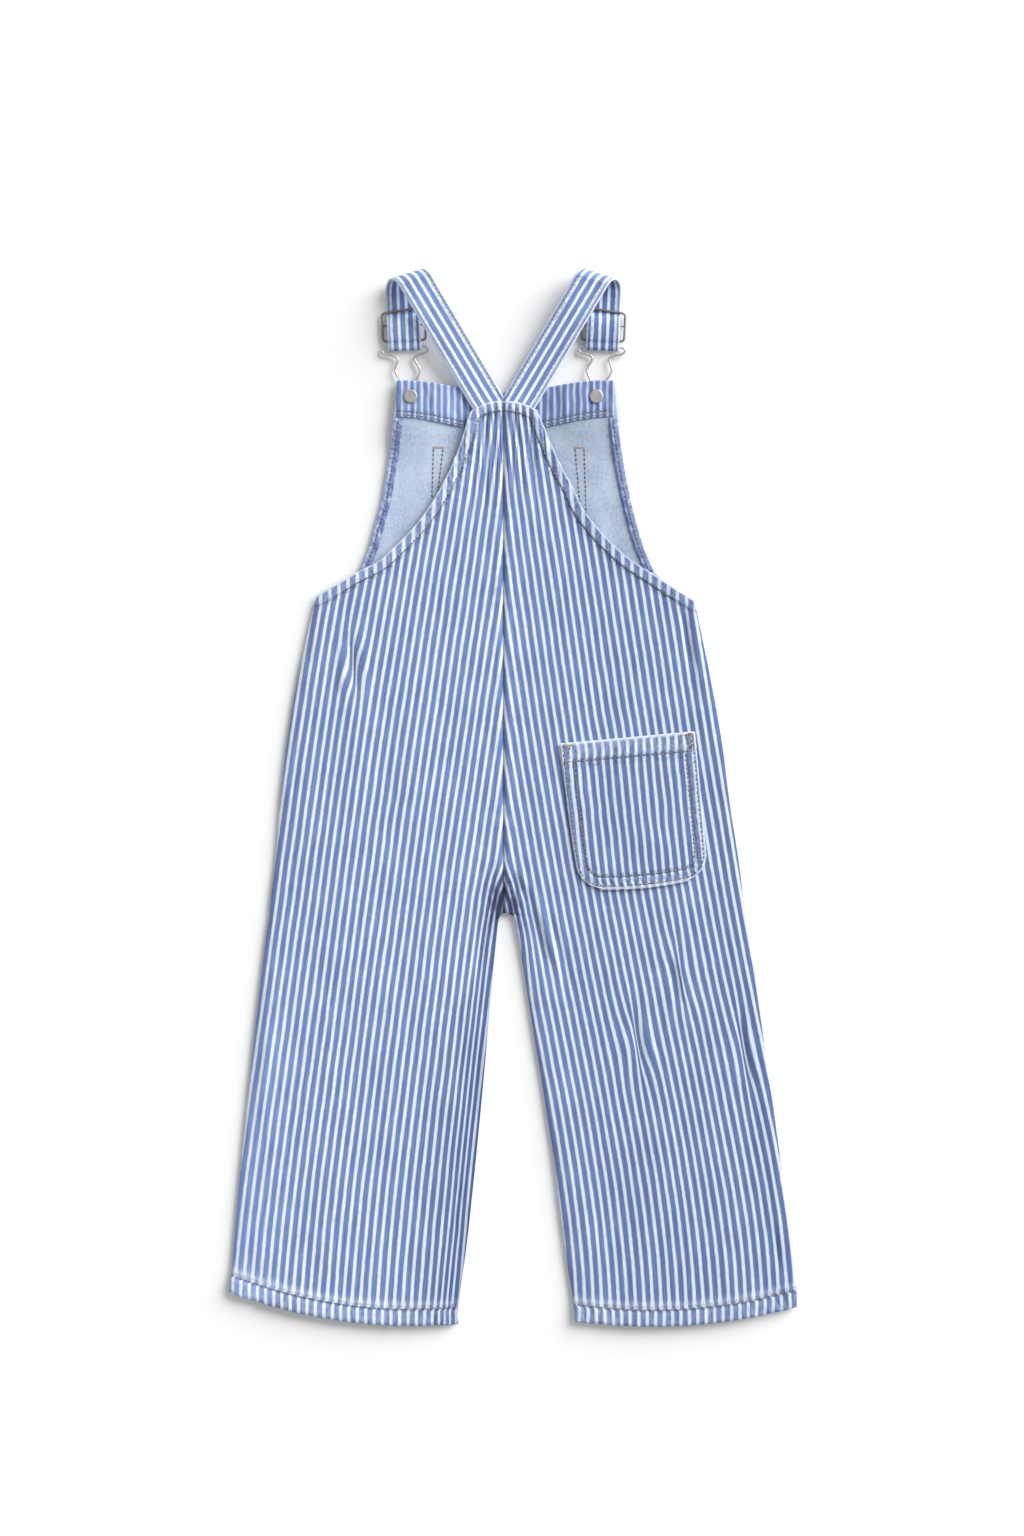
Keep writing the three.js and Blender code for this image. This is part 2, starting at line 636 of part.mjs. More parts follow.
// The hook hangs a little inwards from the strap's own line, and the button sits in its lower end.
const swung = (down) => (down - buckle.hookBar) * Math.sin(radians(buckle.swing));
const inHook = buckle.hookBar + button.inHook;
const buttonAt = onStrap(1, -swung(inHook), inHook, 0);

// The wire hook: a bar for the strap, a neck, the wide loop that the button's head passes and the narrow one that
// its shank sits in.
function hookGeometry(side) {
  const bar = buckle.hookBar;
  const half = [
    [0, bar], [7, bar], [14.6, bar], [17.6, bar + 0.8], [18.4, bar + 2.8], [16.6, bar + 4.9], [11, bar + 6.4],
    [6.9, bar + 8.8], [7.6, bar + 12.6], [9.8, bar + 17.6], [8.9, bar + 22.4], [6.2, bar + 27.4], [4.7, bar + 32.5],
    [4.2, bar + 38.5], [2.9, bar + 42.6],
  ];
  const bottom = [0, bar + 43.8];
  const round = [...half, bottom, ...half.slice(1).reverse().map(([x, down]) => [-x, down])];
  const rise = (down) => mix(wire.z, 3.35, ease((down - bar - 6) / 24));
  const loop = new THREE.CatmullRomCurve3(
    round.map(([x, down]) => onStrap(side, x - swung(down), down, rise(down))), true, "centripetal",
  );
  return ringOfWire(loop.getSpacedPoints(62).slice(0, -1));
}

// The slide: a wire frame with a middle bar. Its top bar lies over the strap and has slipped a little out of square.
function slideGeometry(side) {
  const { halfWidth, topBar, lowBar, middleBar, slant } = buckle;
  const corner = 3;
  const frame = [];
  const corners = [
    [halfWidth, topBar - slant, 0], [halfWidth, lowBar, 90], [-halfWidth, lowBar, 180], [-halfWidth, topBar + slant, 270],
  ];
  for (const [x, down, turn] of corners) {
    const centre = [x - Math.sign(x) * corner, down + (down > middleBar ? -corner : corner)];
    evenly(3).forEach((share) => {
      const angle = radians(turn - 90 + 90 * share);
      frame.push(onStrap(side, centre[0] + corner * Math.cos(angle), centre[1] + corner * Math.sin(angle), wire.z));
    });
  }
  const ends = [-halfWidth, halfWidth].map((x) => onStrap(side, x, middleBar, wire.z));
  const bar = new THREE.CylinderGeometry(wire.radius * 0.96, wire.radius * 0.96, 2 * halfWidth, wire.sides);
  const direction = ends[1].clone().sub(ends[0]).normalize();
  bar.applyQuaternion(new THREE.Quaternion().setFromUnitVectors(new THREE.Vector3(0, 1, 0), direction));
  const middle = ends[0].clone().add(ends[1]).multiplyScalar(0.5);
  bar.translate(middle.x, middle.y, middle.z);
  return geometryOf(manifold(ringOfWire(frame)).add(manifold(bar)));
}

// A button in one piece with its tack: head, shank, post through the bib and the disc on the inside.
function buttonGeometry(side) {
  const { head, shank, post, disc } = button;
  const underBib = buttonLift - seamGap;
  const overFacing = buttonLift + cloth + seamGap + facing.thick + seamGap;
  const profile = [
    [0, 0], [head - 0.8, 0], [head, 0.8], [head - 0.2, 1.6], [head - 1.4, 2.1], [shank, 2.1], [shank, underBib],
    [post, underBib], [post, overFacing], [disc, overFacing], [disc, overFacing + 0.6],
    [disc - 1, overFacing + 1], [0, overFacing + 1.1],
  ];
  const geometry = new THREE.LatheGeometry(profile.map(([r, z]) => new THREE.Vector2(r, z)), 18);
  return geometry.rotateX(Math.PI / 2).translate(side * buttonAt.x, buttonAt.y, 0);
}

// The garment

for (const [name, rows] of Object.entries(outline)) {
  piece("front_leg_" + name, blanket(frontLegPlan(rows), () => 0, cloth), denim);
  piece("back_" + name, backGeometry(rows), denim);
}
piece("chest_pocket", chestPocketGeometry(), denim);
const bib = blanket(bibPlan(), bibLift, cloth);
const overBib = (x, y) => heightOver(bib, x, y, 3) + seamGap;
piece("front_bib", pierced(bib), wrongSide);
piece("bib_facing", pierced(blanket(facingPlan(), overBib, facing.thick)), denim);
piece("back_pocket", backPocketGeometry(backGeometry(outline.right)), denim);
for (const [name, side] of [["left", -1], ["right", 1]]) {
  piece("bib_hem_" + name, blanket(bibHemPlan(side), overBib, bibHem.thick), denim);
  piece("strap_" + name, wall(strapGrid(side, 1), strapGrid(side, -1)), denim);
  piece("slide_" + name, slideGeometry(side), steel);
  piece("hook_" + name, hookGeometry(side), steel);
  piece("button_" + name, buttonGeometry(side), steel);
}

export default overalls;
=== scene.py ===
# Kids' bib overalls in striped denim, laid flat on their front, seen from straight above.
import math

import bpy
import numpy as np
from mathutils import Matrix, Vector, noise
from mathutils.bvhtree import BVHTree


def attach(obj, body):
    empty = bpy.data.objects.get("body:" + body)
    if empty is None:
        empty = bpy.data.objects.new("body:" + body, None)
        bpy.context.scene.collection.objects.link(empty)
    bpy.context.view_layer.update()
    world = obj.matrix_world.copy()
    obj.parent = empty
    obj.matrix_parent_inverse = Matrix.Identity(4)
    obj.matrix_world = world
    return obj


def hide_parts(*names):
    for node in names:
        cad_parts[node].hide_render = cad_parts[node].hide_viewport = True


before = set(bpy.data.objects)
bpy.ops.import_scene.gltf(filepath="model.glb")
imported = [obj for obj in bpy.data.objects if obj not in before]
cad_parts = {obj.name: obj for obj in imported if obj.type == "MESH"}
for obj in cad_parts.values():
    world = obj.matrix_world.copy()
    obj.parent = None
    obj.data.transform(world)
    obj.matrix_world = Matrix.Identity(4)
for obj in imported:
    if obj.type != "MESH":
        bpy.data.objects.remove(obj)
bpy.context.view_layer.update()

# Millimetres in the garment's own numbers: x from its centre seams, y from its hems' lowest point.
shift = {"x": -7.6, "y": -425.0}
waist = 500.0
crotchRow = 6
underarmRow = 13
clothThick = 1.3
pitch = 6.6  # from one white stripe to the next, before the cloth is pulled or gathered

# The back's two pieces from the hem up: a section's outer height and edge, inner edge and height, and sag
outline = {
    "left": np.array([
        [28.6, -219.6, -36.4, 3.5, 10.5],
        [42.5, -217.6, -36.4, 16.5, 8.8],
        [86.4, -214.0, -29.2, 70.4, 6],
        [158.4, -207.2, -21.0, 148.0, 5],
        [254.4, -196.8, -11.7, 248.0, 3],
        [310.4, -190.0, -6.4, 307.2, 1],
        [329.0, -187.3, -3.8, 328.0, 0],
        [340.0, -186.3, -0.2, 331.8, 0],
        [374.4, -182.4, -0.2, 374.4, 0],
        [422.4, -178.4, -0.2, 422.4, 0],
        [470.4, -172.8, -0.2, 470.4, 0],
        [518.4, -164.8, -0.2, 518.4, 0],
        [566.4, -154.4, -0.2, 566.4, 0],
        [586.0, -148.8, -0.2, 586.0, 0],
        [597.3, -129.6, -0.2, 598.0, 0],
        [606.0, -114.7, -0.2, 608.0, 0],
        [613.2, -100.0, -0.2, 617.0, 0],
        [627.3, -84.6, -0.2, 632.0, 0],
        [641.0, -71.4, -0.2, 646.0, 0],
        [656.2, -59.8, -0.2, 661.0, 0],
        [672.0, -50.2, -0.2, 677.0, 0],
        [691.0, -40.8, -0.2, 697.0, 0],
        [712.0, -32.8, -0.2, 718.0, 0],
        [727.0, -28.4, -0.2, 734.0, -1],
        [733.5, -25.6, -0.2, 741.0, -2.2],
    ]),
    "right": np.array([
        [17.0, 234.8, 57.6, 5.5, 9.2],
        [31.0, 234.6, 56.4, 19.0, 8.4],
        [86.4, 227.6, 48.0, 74.0, 7],
        [158.4, 218.4, 38.2, 150.0, 5],
        [254.4, 204.8, 22.4, 249.0, 3],
        [310.4, 196.6, 12.8, 308.0, 1],
        [329.0, 194.0, 8.2, 329.0, 0],
        [340.0, 192.4, 0.2, 331.8, 0],
        [374.4, 188.0, 0.2, 374.4, 0],
        [422.4, 180.8, 0.2, 422.4, 0],
        [470.4, 174.4, 0.2, 470.4, 0],
        [518.4, 165.8, 0.2, 518.4, 0],
        [566.4, 156.0, 0.2, 566.4, 0],
        [582.0, 152.6, 0.2, 582.0, 0],
        [593.0, 134.6, 0.2, 594.0, 0],
        [604.0, 118.0, 0.2, 606.0, 0],
        [615.0, 100.8, 0.2, 618.0, 0],
        [630.0, 84.0, 0.2, 633.0, 0],
        [642.6, 72.8, 0.2, 647.0, 0],
        [656.2, 62.6, 0.2, 661.0, 0],
        [672.0, 55.4, 0.2, 677.0, 0],
        [691.0, 45.0, 0.2, 697.0, 0],
        [712.0, 35.6, 0.2, 718.0, 0],
        [727.0, 29.8, 0.2, 734.0, -1],
        [733.5, 26.8, 0.2, 741.0, -2.2],
    ]),
}

# Where the stripes run: the count at the garment's middle and the stripes' distance, at a few heights.
stripeRun = {
    "height": (30, 190, 318, 382, 446, 510, 573, 614, 662, 710, 731),
    "left": (31.85, 29.5, 27.4, 25.7, 24.3, 22.7, 21.45, 20.65, 19.7, 18.8, 18.4),
    "right": (34.6, 31.4, 28.3, 25.7, 24.3, 22.7, 21.45, 20.65, 19.7, 18.8, 18.4),
    "pitch": (6.76, 6.6, 6.55, 6.6, 6.6, 6.6, 6.5, 6.4, 6.25, 5.9, 5.5),
}

# The bib's side edges: height, left and right.
bibSides = np.array([
    [500, -168.2, 169.4],
    [540, -160.4, 161.6],
    [566, -154.4, 156.0],
    [582, -149.6, 152.6],
    [592, -131.0, 136.0],
    [604, -116.4, 121.6],
    [624, -108.0, 112.8],
    [643, -103.0, 107.2],
    [662, -97.6, 102.4],
    [682, -94.4, 98.4],
    [701, -91.2, 95.2],
    [718, -89.4, 92.8],
    [738, -87.0, 90.4],
    [758, -85.0, 88.6],
])

# Creases on top of the solids' own folds: ends, width and height.
creases = np.array([
    [2, 352, 10, 316, 3.0, -1.4],
    [6, 366, 22, 336, 3.5, -1.2],
    [10, 372, 19, 346, 3.0, 0.9],
    [16, 358, 36, 284, 3.5, -1.9],
    [24, 352, 46, 280, 4.5, 1.1],
    [34, 340, 56, 262, 4.0, -1.0],
    [-3, 350, -16, 318, 3.0, -1.1],
    [-6, 362, -26, 330, 4.0, 0.8],
    [-14, 330, -24, 276, 4.0, -0.8],
    [-124, 556, -117, 504, 3.6, -1.7],
    [-131, 560, -127, 498, 4.5, 1.0],
    [-112, 546, -108, 512, 3.0, 0.7],
    [138, 304, 147, 258, 4.5, 0.9],
    [132, 300, 141, 254, 3.6, -1.4],
    [103, 250, 112, 206, 3.4, -1.4],
    [110, 252, 121, 202, 4.5, 0.8],
    [186, 252, 198, 186, 3.6, -1.2],
    [192, 262, 205, 190, 5.0, 0.7],
    [142, 580, 152, 520, 4.0, -1.5],
    [150, 564, 160, 500, 6.0, 0.8],
    [-163, 474, -171, 420, 4.0, -0.9],
    [-186, 250, -196, 180, 5.0, 0.6],
    [-30, 250, -40, 190, 6.0, -0.7],
    [-34, 118, -42, 78, 3.4, -1.0],
    [-48, 96, -58, 48, 5.0, 0.6],
    [214, 90, 222, 40, 4.0, -0.9],
    [62, 120, 70, 60, 6.0, 0.6],
    [60, 466, 96, 500, 8.0, -0.6],
    [-60, 430, -120, 404, 9.0, -0.5],
    [-20, 716, -27, 640, 2.0, -1.0],
    [-12, 724, -15, 650, 2.0, -1.2],
    [-5, 722, -6, 664, 1.8, -0.8],
    [6, 722, 7, 668, 1.8, -0.9],
    [13, 724, 16, 656, 2.0, -1.3],
    [21, 716, 28, 642, 2.0, -1.0],
])

# Short tucks that swallow a stripe: ends, how far the stripes bend towards them, and the stripes taken up
tucks = np.array([
    [137, 312, 146, 256, 13, 0.9],
    [102, 258, 111, 196, 17, 1.1],
    [186, 256, 197, 186, 12, 0.8],
    [-123, 560, -117, 502, 11, 0.7],
])

# Colours as the camera sees them, and the share of it that the cloth gives back under these lamps
givenBack = 0.95
tones = {
    "blue": (109, 134, 188), "deepBlue": (88, 110, 166),
    "paleBlue": (135, 161, 207), "violetBlue": (109, 123, 178),
    "white": (241, 249, 255), "shadeWhite": (218, 230, 245), "worn": (224, 232, 244),
    "inside": (191, 206, 229), "insidePale": (210, 223, 241), "insideDeep": (153, 173, 207),
    "thread": (94, 88, 98), "tan": (176, 158, 134), "paleThread": (200, 208, 222),
    "wire": (206, 203, 198), "slide": (138, 134, 130), "tack": (184, 183, 182),
}

# What half the painted shade leaves of each stripe: the white keeps more, and bluer
halfShadeTint = {"blue": (0.5, 0.5, 0.54, 1.0), "white": (0.7, 0.745, 0.88, 1.0)}


# Small mathematics

def lerp(a, b, t):
    return a + (b - a) * t


def ease(t):
    t = np.clip(t, 0.0, 1.0)
    return t * t * (3.0 - 2.0 * t)


def groove(distance, width):
    return np.exp(-((distance / width) ** 2))


def linear(tone):
    levels = np.array(tones[tone]) / 255.0
    return (*(givenBack * np.where(levels <= 0.04045, levels / 12.92, ((levels + 0.055) / 1.055) ** 2.4)), 1.0)


# A table's column between its rows, smooth but for one-sided slopes at the corner rows
def smoothAt(column, place, corners=()):
    i = min(int(place), len(column) - 2)
    t = place - i
    step = column[i + 1] - column[i]

    def slope(k):
        if k in (0, len(column) - 1) or k in corners:
            return step
        return (column[k + 1] - column[k - 1]) / 2

    a, b = slope(i), slope(i + 1)
    return (
        column[i] * (2 * t**3 - 3 * t**2 + 1) + a * (t**3 - 2 * t**2 + t)
        + column[i + 1] * (3 * t**2 - 2 * t**3) + b * (t**3 - t**2)
    )


def curveThrough(points, perSpan, closed=False):
    points = np.array(points, float)
    count = len(points)
    made = []
    for i in range(count if closed else count - 1):
        ids = [i - 1, i, i + 1, i + 2]
        a, b, c, d = (points[k % count] if closed else points[min(max(k, 0), count - 1)] for k in ids)
        for t in np.arange(perSpan) / perSpan:
            made.append(0.5 * (2 * b + (c - a) * t + (2 * a - 5 * b + 4 * c - d) * t**2
                               + (3 * b - a - 3 * c + d) * t**3))
    if not closed:
        made.append(points[-1])
    return np.array(made)


def blurred(grid, times):
    for _ in range(times):
        padded = np.pad(grid, 1, mode="edge")
        grid = (4 * grid + padded[:-2, 1:-1] + padded[2:, 1:-1] + padded[1:-1, :-2] + padded[1:-1, 2:]) / 8
    return grid


def noiseAt(x, y, size, seed=0.0):
    flat = [noise.noise(Vector((a / size, b / size, seed))) for a, b in zip(x.ravel(), y.ravel())]
    return np.array(flat).reshape(x.shape)


# How far plan points lie from a line, and how far along the line the nearest place is
def nearLine(line, x, y):
    best = np.full(x.shape, 1e9)
    run = np.zeros(x.shape)
    done = 0.0
    for (ax, ay), (bx, by) in zip(line[:-1], line[1:]):
        dx, dy = bx - ax, by - ay
        whole = math.hypot(dx, dy)
        share = np.clip(((x - ax) * dx + (y - ay) * dy) / whole**2, 0, 1)
        away = np.hypot(x - ax - share * dx, y - ay - share * dy)
        closer = away < best
        best = np.where(closer, away, best)
        run = np.where(closer, done + share * whole, run)
        done += whole
    return best, run


# A plan line moved to its left by a distance
def offsetLine(line, distance):
    line = np.array(line, float)
    way = np.gradient(line, axis=0)
    way /= np.linalg.norm(way, axis=1, keepdims=True)
    return line + distance * np.stack([-way[:, 1], way[:, 0]], -1)


def gridNormals(points):
    along = np.gradient(points, axis=0)
    across = np.gradient(points, axis=1)
    made = np.cross(across, along)
    made /= np.maximum(np.linalg.norm(made, axis=2, keepdims=True), 1e-9)
    return made * np.where(made[..., 2:].mean() < 0, -1.0, 1.0)


def quadsOf(rows, columns):
    at = np.arange(rows * columns).reshape(rows, columns)
    return np.stack([at[:-1, :-1], at[:-1, 1:], at[1:, 1:], at[1:, :-1]], -1).reshape(-1, 4)


# Finding surfaces, in the garment's own numbers

def searchNode(node):
    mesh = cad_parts[node].data
    points = [(v.co.x * 1000 - shift["x"], v.co.y * 1000 - shift["y"], v.co.z * 1000) for v in mesh.vertices]
    return BVHTree.FromPolygons(points, [list(face.vertices) for face in mesh.polygons])


def searchGrid(outer):
    return BVHTree.FromPolygons(outer.reshape(-1, 3).tolist(), quadsOf(*outer.shape[:2]).tolist())


def heightUnder(search, x, y):
    hit = search.ray_cast(Vector((x, y, 200)), Vector((0, 0, -1)))[0]
    return np.nan if hit is None else hit.z


# Heights over a grid of plan points; where the rays miss, the nearest heights carry on
def heightsOver(search, x, y):
    heights = np.full(x.shape, np.nan)
    for index in np.ndindex(x.shape):
        heights[index] = heightUnder(search, x[index], y[index])
    places = np.arange(x.shape[1])
    for row in heights:
        known = ~np.isnan(row)
        if known.any():
            row[:] = np.interp(places, places[known], row[known])
    filled = ~np.isnan(heights[:, 0])
    lines = np.arange(x.shape[0])
    for j in places:
        heights[:, j] = np.interp(lines, lines[filled], heights[filled, j])
    return heights


def topOf(node, x, y):
    return heightsOver(searchNode(node), x, y)


# A plan line laid on a finished surface
def laidOn(search, plan):
    line = [(x, y, heightUnder(search, x, y)) for x, y in plan]
    return [point for point in line if not math.isnan(point[2])]


# Making meshes

def addMesh(name, points, faces, materials, maps=None, kinds=None):
    moved = (np.asarray(points, float) + (shift["x"], shift["y"], 0)) / 1000
    mesh = bpy.data.meshes.new(name)
    mesh.from_pydata(moved.tolist(), [], [tuple(map(int, f)) for f in faces])
    for material in materials:
        mesh.materials.append(material)
    if kinds is not None:
        mesh.polygons.foreach_set("material_index", np.asarray(kinds, np.int32))
    corners = np.zeros(len(mesh.loops), np.int32)
    mesh.loops.foreach_get("vertex_index", corners)
    for title, values in (maps or {}).items():
        layer = mesh.uv_layers.new(name=title)
        layer.data.foreach_set("uv", np.asarray(values, float)[corners].ravel())
    mesh.polygons.foreach_set("use_smooth", [True] * len(mesh.polygons))
    made = bpy.data.objects.new(name, mesh)
    bpy.context.scene.collection.objects.link(made)
    bpy.context.view_layer.objects.active = made
    made.select_set(True)
    bpy.ops.object.mode_set(mode="EDIT")
    bpy.ops.mesh.select_all(action="SELECT")
    bpy.ops.mesh.normals_make_consistent(inside=False)
    bpy.ops.object.mode_set(mode="OBJECT")
    made.select_set(False)
    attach(made, "root")
    return made


# A closed wall between two grids of points, with a rounded rim; materials are the face's and the back's
def closedWall(name, outer, inner, maps, materials):
    rows, columns = outer.shape[:2]
    at = np.arange(rows * columns).reshape(rows, columns)
    top = quadsOf(rows, columns)
    ring = np.concatenate([at[0, :-1], at[:-1, -1], at[-1, :0:-1], at[:0:-1, 0]])
    inward = np.concatenate([at[1, :-1], at[:-1, -2], at[-2, :0:-1], at[:0:-1, 1]])
    face, back = outer.reshape(-1, 3), inner.reshape(-1, 3)
    out = face[ring] - face[inward]
    out /= np.maximum(np.linalg.norm(out, axis=1, keepdims=True), 1e-9)
    depth = np.linalg.norm(face[ring] - back[ring], axis=1, keepdims=True)
    bulge = (face[ring] + back[ring]) / 2 + out * 0.3 * depth
    start = 2 * rows * columns
    k = np.arange(len(ring))
    after = (k + 1) % len(ring)
    upperRim = np.stack([ring[k], ring[after], start + after, start + k], -1)
    lowerRim = np.stack([start + k, start + after, ring[after] + rows * columns, ring[k] + rows * columns], -1)
    faces = np.concatenate([top, top[:, ::-1] + rows * columns, upperRim, lowerRim])
    spread = {title: np.concatenate([m.reshape(-1, 2), m.reshape(-1, 2), m.reshape(-1, 2)[ring]])
              for title, m in maps.items()}
    kinds = np.concatenate([np.zeros(len(top)), np.ones(len(top)), np.zeros(2 * len(ring))])
    return addMesh(name, np.concatenate([face, back, bulge]), faces, materials, spread,
                   kinds if len(materials) > 1 else None)


def shell(name, outer, thick, maps, materials, floor=None):
    inner = outer - gridNormals(outer) * (np.asarray(thick)[..., None] if np.ndim(thick) else thick)
    if floor is not None:
        inner[..., 2] = np.maximum(inner[..., 2], floor)
    return closedWall(name, outer, inner, maps, materials)


# The seam map's second channel is painted shading: below 1 painted shade, above 1 painted light
def mapsOf(count, y, edge=99.0, run=0.0, seam=99.0, paintedShading=1.0, lift=0.0):
    full = np.zeros(np.shape(y))
    return {"weave": np.stack([count + full, y / 10], -1), "edge": np.stack([edge + full, run + full], -1),
            "seam": np.stack([seam + full, paintedShading + full], -1), "lift": np.stack([lift + full, full], -1)}


def tube(name, line, radius, material, sides=10, closed=False):
    line = np.array(line, float)
    ways = np.roll(line, -1, 0) - np.roll(line, 1, 0) if closed else np.gradient(line, axis=0)
    ways /= np.linalg.norm(ways, axis=1, keepdims=True)
    side = np.cross(ways, (0, 0, 1))
    side /= np.maximum(np.linalg.norm(side, axis=1, keepdims=True), 1e-9)
    up = np.cross(side, ways)
    turn = np.linspace(0, 2 * np.pi, sides, endpoint=False)
    ringed = np.cos(turn)[None, :, None] * side[:, None] + np.sin(turn)[None, :, None] * up[:, None]
    points = (line[:, None] + radius * ringed).reshape(-1, 3)
    count = len(line)
    faces = [(i * sides + k, i * sides + (k + 1) % sides, (i + 1) % count * sides + (k + 1) % sides,
              (i + 1) % count * sides + k) for i in range(count if closed else count - 1)
              for k in range(sides)]
    if not closed:
        faces += [tuple(range(sides)), tuple((count - 1) * sides + k for k in range(sides))]
    return addMesh(name, points, faces, [material])


def resampled(line, spacing):
    line = np.array(line, float)
    lengths = np.concatenate([[0], np.cumsum(np.linalg.norm(np.diff(line, axis=0), axis=1))])
    wanted = np.linspace(0, lengths[-1], max(1, int(lengths[-1] / spacing)) + 1)
    return np.stack([np.interp(wanted, lengths, line[:, k]) for k in range(3)], -1)


# Rows of sewn stitches: each is a short bead of thread that dips into the cloth at its ends
stitch = {"length": 3.0, "gap": 0.5, "radius": 0.55, "sink": 0.12, "sides": 6}
bead = ((0.0, 0.25, -0.35), (0.18, 0.85, 0.0), (0.5, 1.0, 0.12), (0.82, 0.85, 0.0), (1.0, 0.25, -0.35))


def stitchRows(name, slot, lines, material, **changed):
    look = {**stitch, **changed}
    sides, radius = look["sides"], look["radius"]
    turn = np.linspace(0, 2 * np.pi, sides, endpoint=False)
    points, faces = [], []
    for line in lines:
        stations = resampled(line, look["length"] + look["gap"])
        for a, b in zip(stations[:-1], stations[1:]):
            whole = np.linalg.norm(b - a)
            if whole < 0.4:
                continue
            along = (b - a) / whole
            side = np.cross(along, (0, 0, 1))
            side /= max(np.linalg.norm(side), 1e-9)
            up = np.cross(side, along)
            start = len(points)
            run = whole * look["length"] / (look["length"] + look["gap"])
            for share, wide, high in bead:
                middle = a + along * run * share + up * ((high + 0.35) * radius - look["sink"])
                points += [middle + radius * wide * (math.cos(t) * side + 0.7 * math.sin(t) * up)
                           for t in turn]
            faces += [(start + i * sides + k, start + (i + 1) * sides + k,
                       start + (i + 1) * sides + (k + 1) % sides,
                       start + i * sides + (k + 1) % sides)
                      for i in range(len(bead) - 1) for k in range(sides)]
            faces.append(tuple(start + k for k in range(sides)))
            faces.append(tuple(start + (len(bead) - 1) * sides + k for k in range(sides)))
    made = addMesh(name, points, faces, [material])
    return made


# Materials

def group(name, inputs, outputs):
    made = bpy.data.node_groups.new(name, "ShaderNodeTree")
    for kind, socket, value in inputs:
        item = made.interface.new_socket(socket, in_out="INPUT", socket_type="NodeSocket" + kind)
        if value is not None:
            item.default_value = value
    for kind, socket in outputs:
        made.interface.new_socket(socket, in_out="OUTPUT", socket_type="NodeSocket" + kind)
    return made, made.nodes.new("NodeGroupInput"), made.nodes.new("NodeGroupOutput")


# Short calls that add shader nodes to one tree
class Weaver:
    def __init__(self, tree):
        self.tree = tree

    def put(self, target, value):
        if isinstance(value, bpy.types.NodeSocket):
            self.tree.links.new(value, target)
        else:
            target.default_value = value

    def math(self, operation, a, b=0.0, c=0.0):
        node = self.tree.nodes.new("ShaderNodeMath")
        node.operation = operation
        for socket, value in zip(node.inputs, (a, b, c)):
            self.put(socket, value)
        return node.outputs[0]

    def mix(self, factor, a, b, blend="MIX"):
        node = self.tree.nodes.new("ShaderNodeMix")
        node.data_type = "RGBA"
        node.blend_type = blend
        for title, value in (("Factor", factor), ("A", a), ("B", b)):
            self.put(node.inputs[title], value)
        return node.outputs["Result"]

    def scaled(self, colour, level):
        return self.mix(1.0, colour, self.vector(level, level, level), "MULTIPLY")

    def vector(self, x, y, z=0.0):
        node = self.tree.nodes.new("ShaderNodeCombineXYZ")
        for socket, value in zip(node.inputs, (x, y, z)):
            self.put(socket, value)
        return node.outputs[0]

    def split(self, value):
        node = self.tree.nodes.new("ShaderNodeSeparateXYZ")
        self.tree.links.new(value, node.inputs[0])
        return node.outputs[0], node.outputs[1]

    def noise(self, where, scale, detail=2.0, roughness=0.55):
        node = self.tree.nodes.new("ShaderNodeTexNoise")
        self.put(node.inputs["Vector"], where)
        node.inputs["Scale"].default_value = scale
        node.inputs["Detail"].default_value = detail
        node.inputs["Roughness"].default_value = roughness
        return node.outputs["Fac"]

    def step(self, value, low, high, to=(0.0, 1.0)):
        node = self.tree.nodes.new("ShaderNodeMapRange")
        node.interpolation_type = "SMOOTHSTEP"
        for socket, v in zip(node.inputs, (value, low, high, *to)):
            self.put(socket, v)
        return node.outputs[0]

    def placed(self, made, **values):
        node = self.tree.nodes.new("ShaderNodeGroup")
        node.node_tree = made
        for name, value in values.items():
            self.put(node.inputs[name], value)
        return node.outputs

    def uv(self, title):
        node = self.tree.nodes.new("ShaderNodeUVMap")
        node.uv_map = title
        return node.outputs[0]

    def send(self, out, **values):
        for name, value in values.items():
            self.tree.links.new(value, out.inputs[name])

    def bump(self, shader, height, strength, distance):
        node = self.tree.nodes.new("ShaderNodeBump")
        node.inputs["Strength"].default_value = strength
        node.inputs["Distance"].default_value = distance
        self.tree.links.new(height, node.inputs["Height"])
        self.tree.links.new(node.outputs[0], shader.inputs["Normal"])


# Weave coordinates in, the yarns' height and several kinds of unevenness out
def yarnGroup():
    tree, given, out = group(
        "clothYarns", [("Vector", "weave", None)],
        [("Float", title) for title in ("height", "slub", "streak", "patch", "cloud", "fleck")],
    )
    w = Weaver(tree)
    u, v = w.split(given.outputs["weave"])
    across, down = w.math("MULTIPLY", u, pitch), w.math("MULTIPLY", v, 10.0)

    def stretched(wide, long, detail=2.0, roughness=0.55):
        return w.noise(w.vector(w.math("DIVIDE", across, wide), w.math("DIVIDE", down, long)),
                       1.0, detail, roughness)

    jitter = w.math("MULTIPLY", stretched(2.8, 2.8), 0.5)
    warp = w.math("SINE", w.math("MULTIPLY", w.math("ADD", across, jitter), 9.6))
    twill = w.math("SINE", w.math("ADD", w.math("MULTIPLY", across, 4.8), w.math("MULTIPLY", down, 8.4)))
    w.send(out, height=w.math("MULTIPLY_ADD", warp, 0.3, w.math("MULTIPLY", twill, 0.25)),
           slub=stretched(0.7, 5.0, 3.0), streak=stretched(1.0, 26.0, 2.0), patch=stretched(7.0, 30.0, 3.0),
           cloud=stretched(22.0, 30.0, 3.0), fleck=stretched(0.7, 0.9, 2.0, 0.7))
    return tree


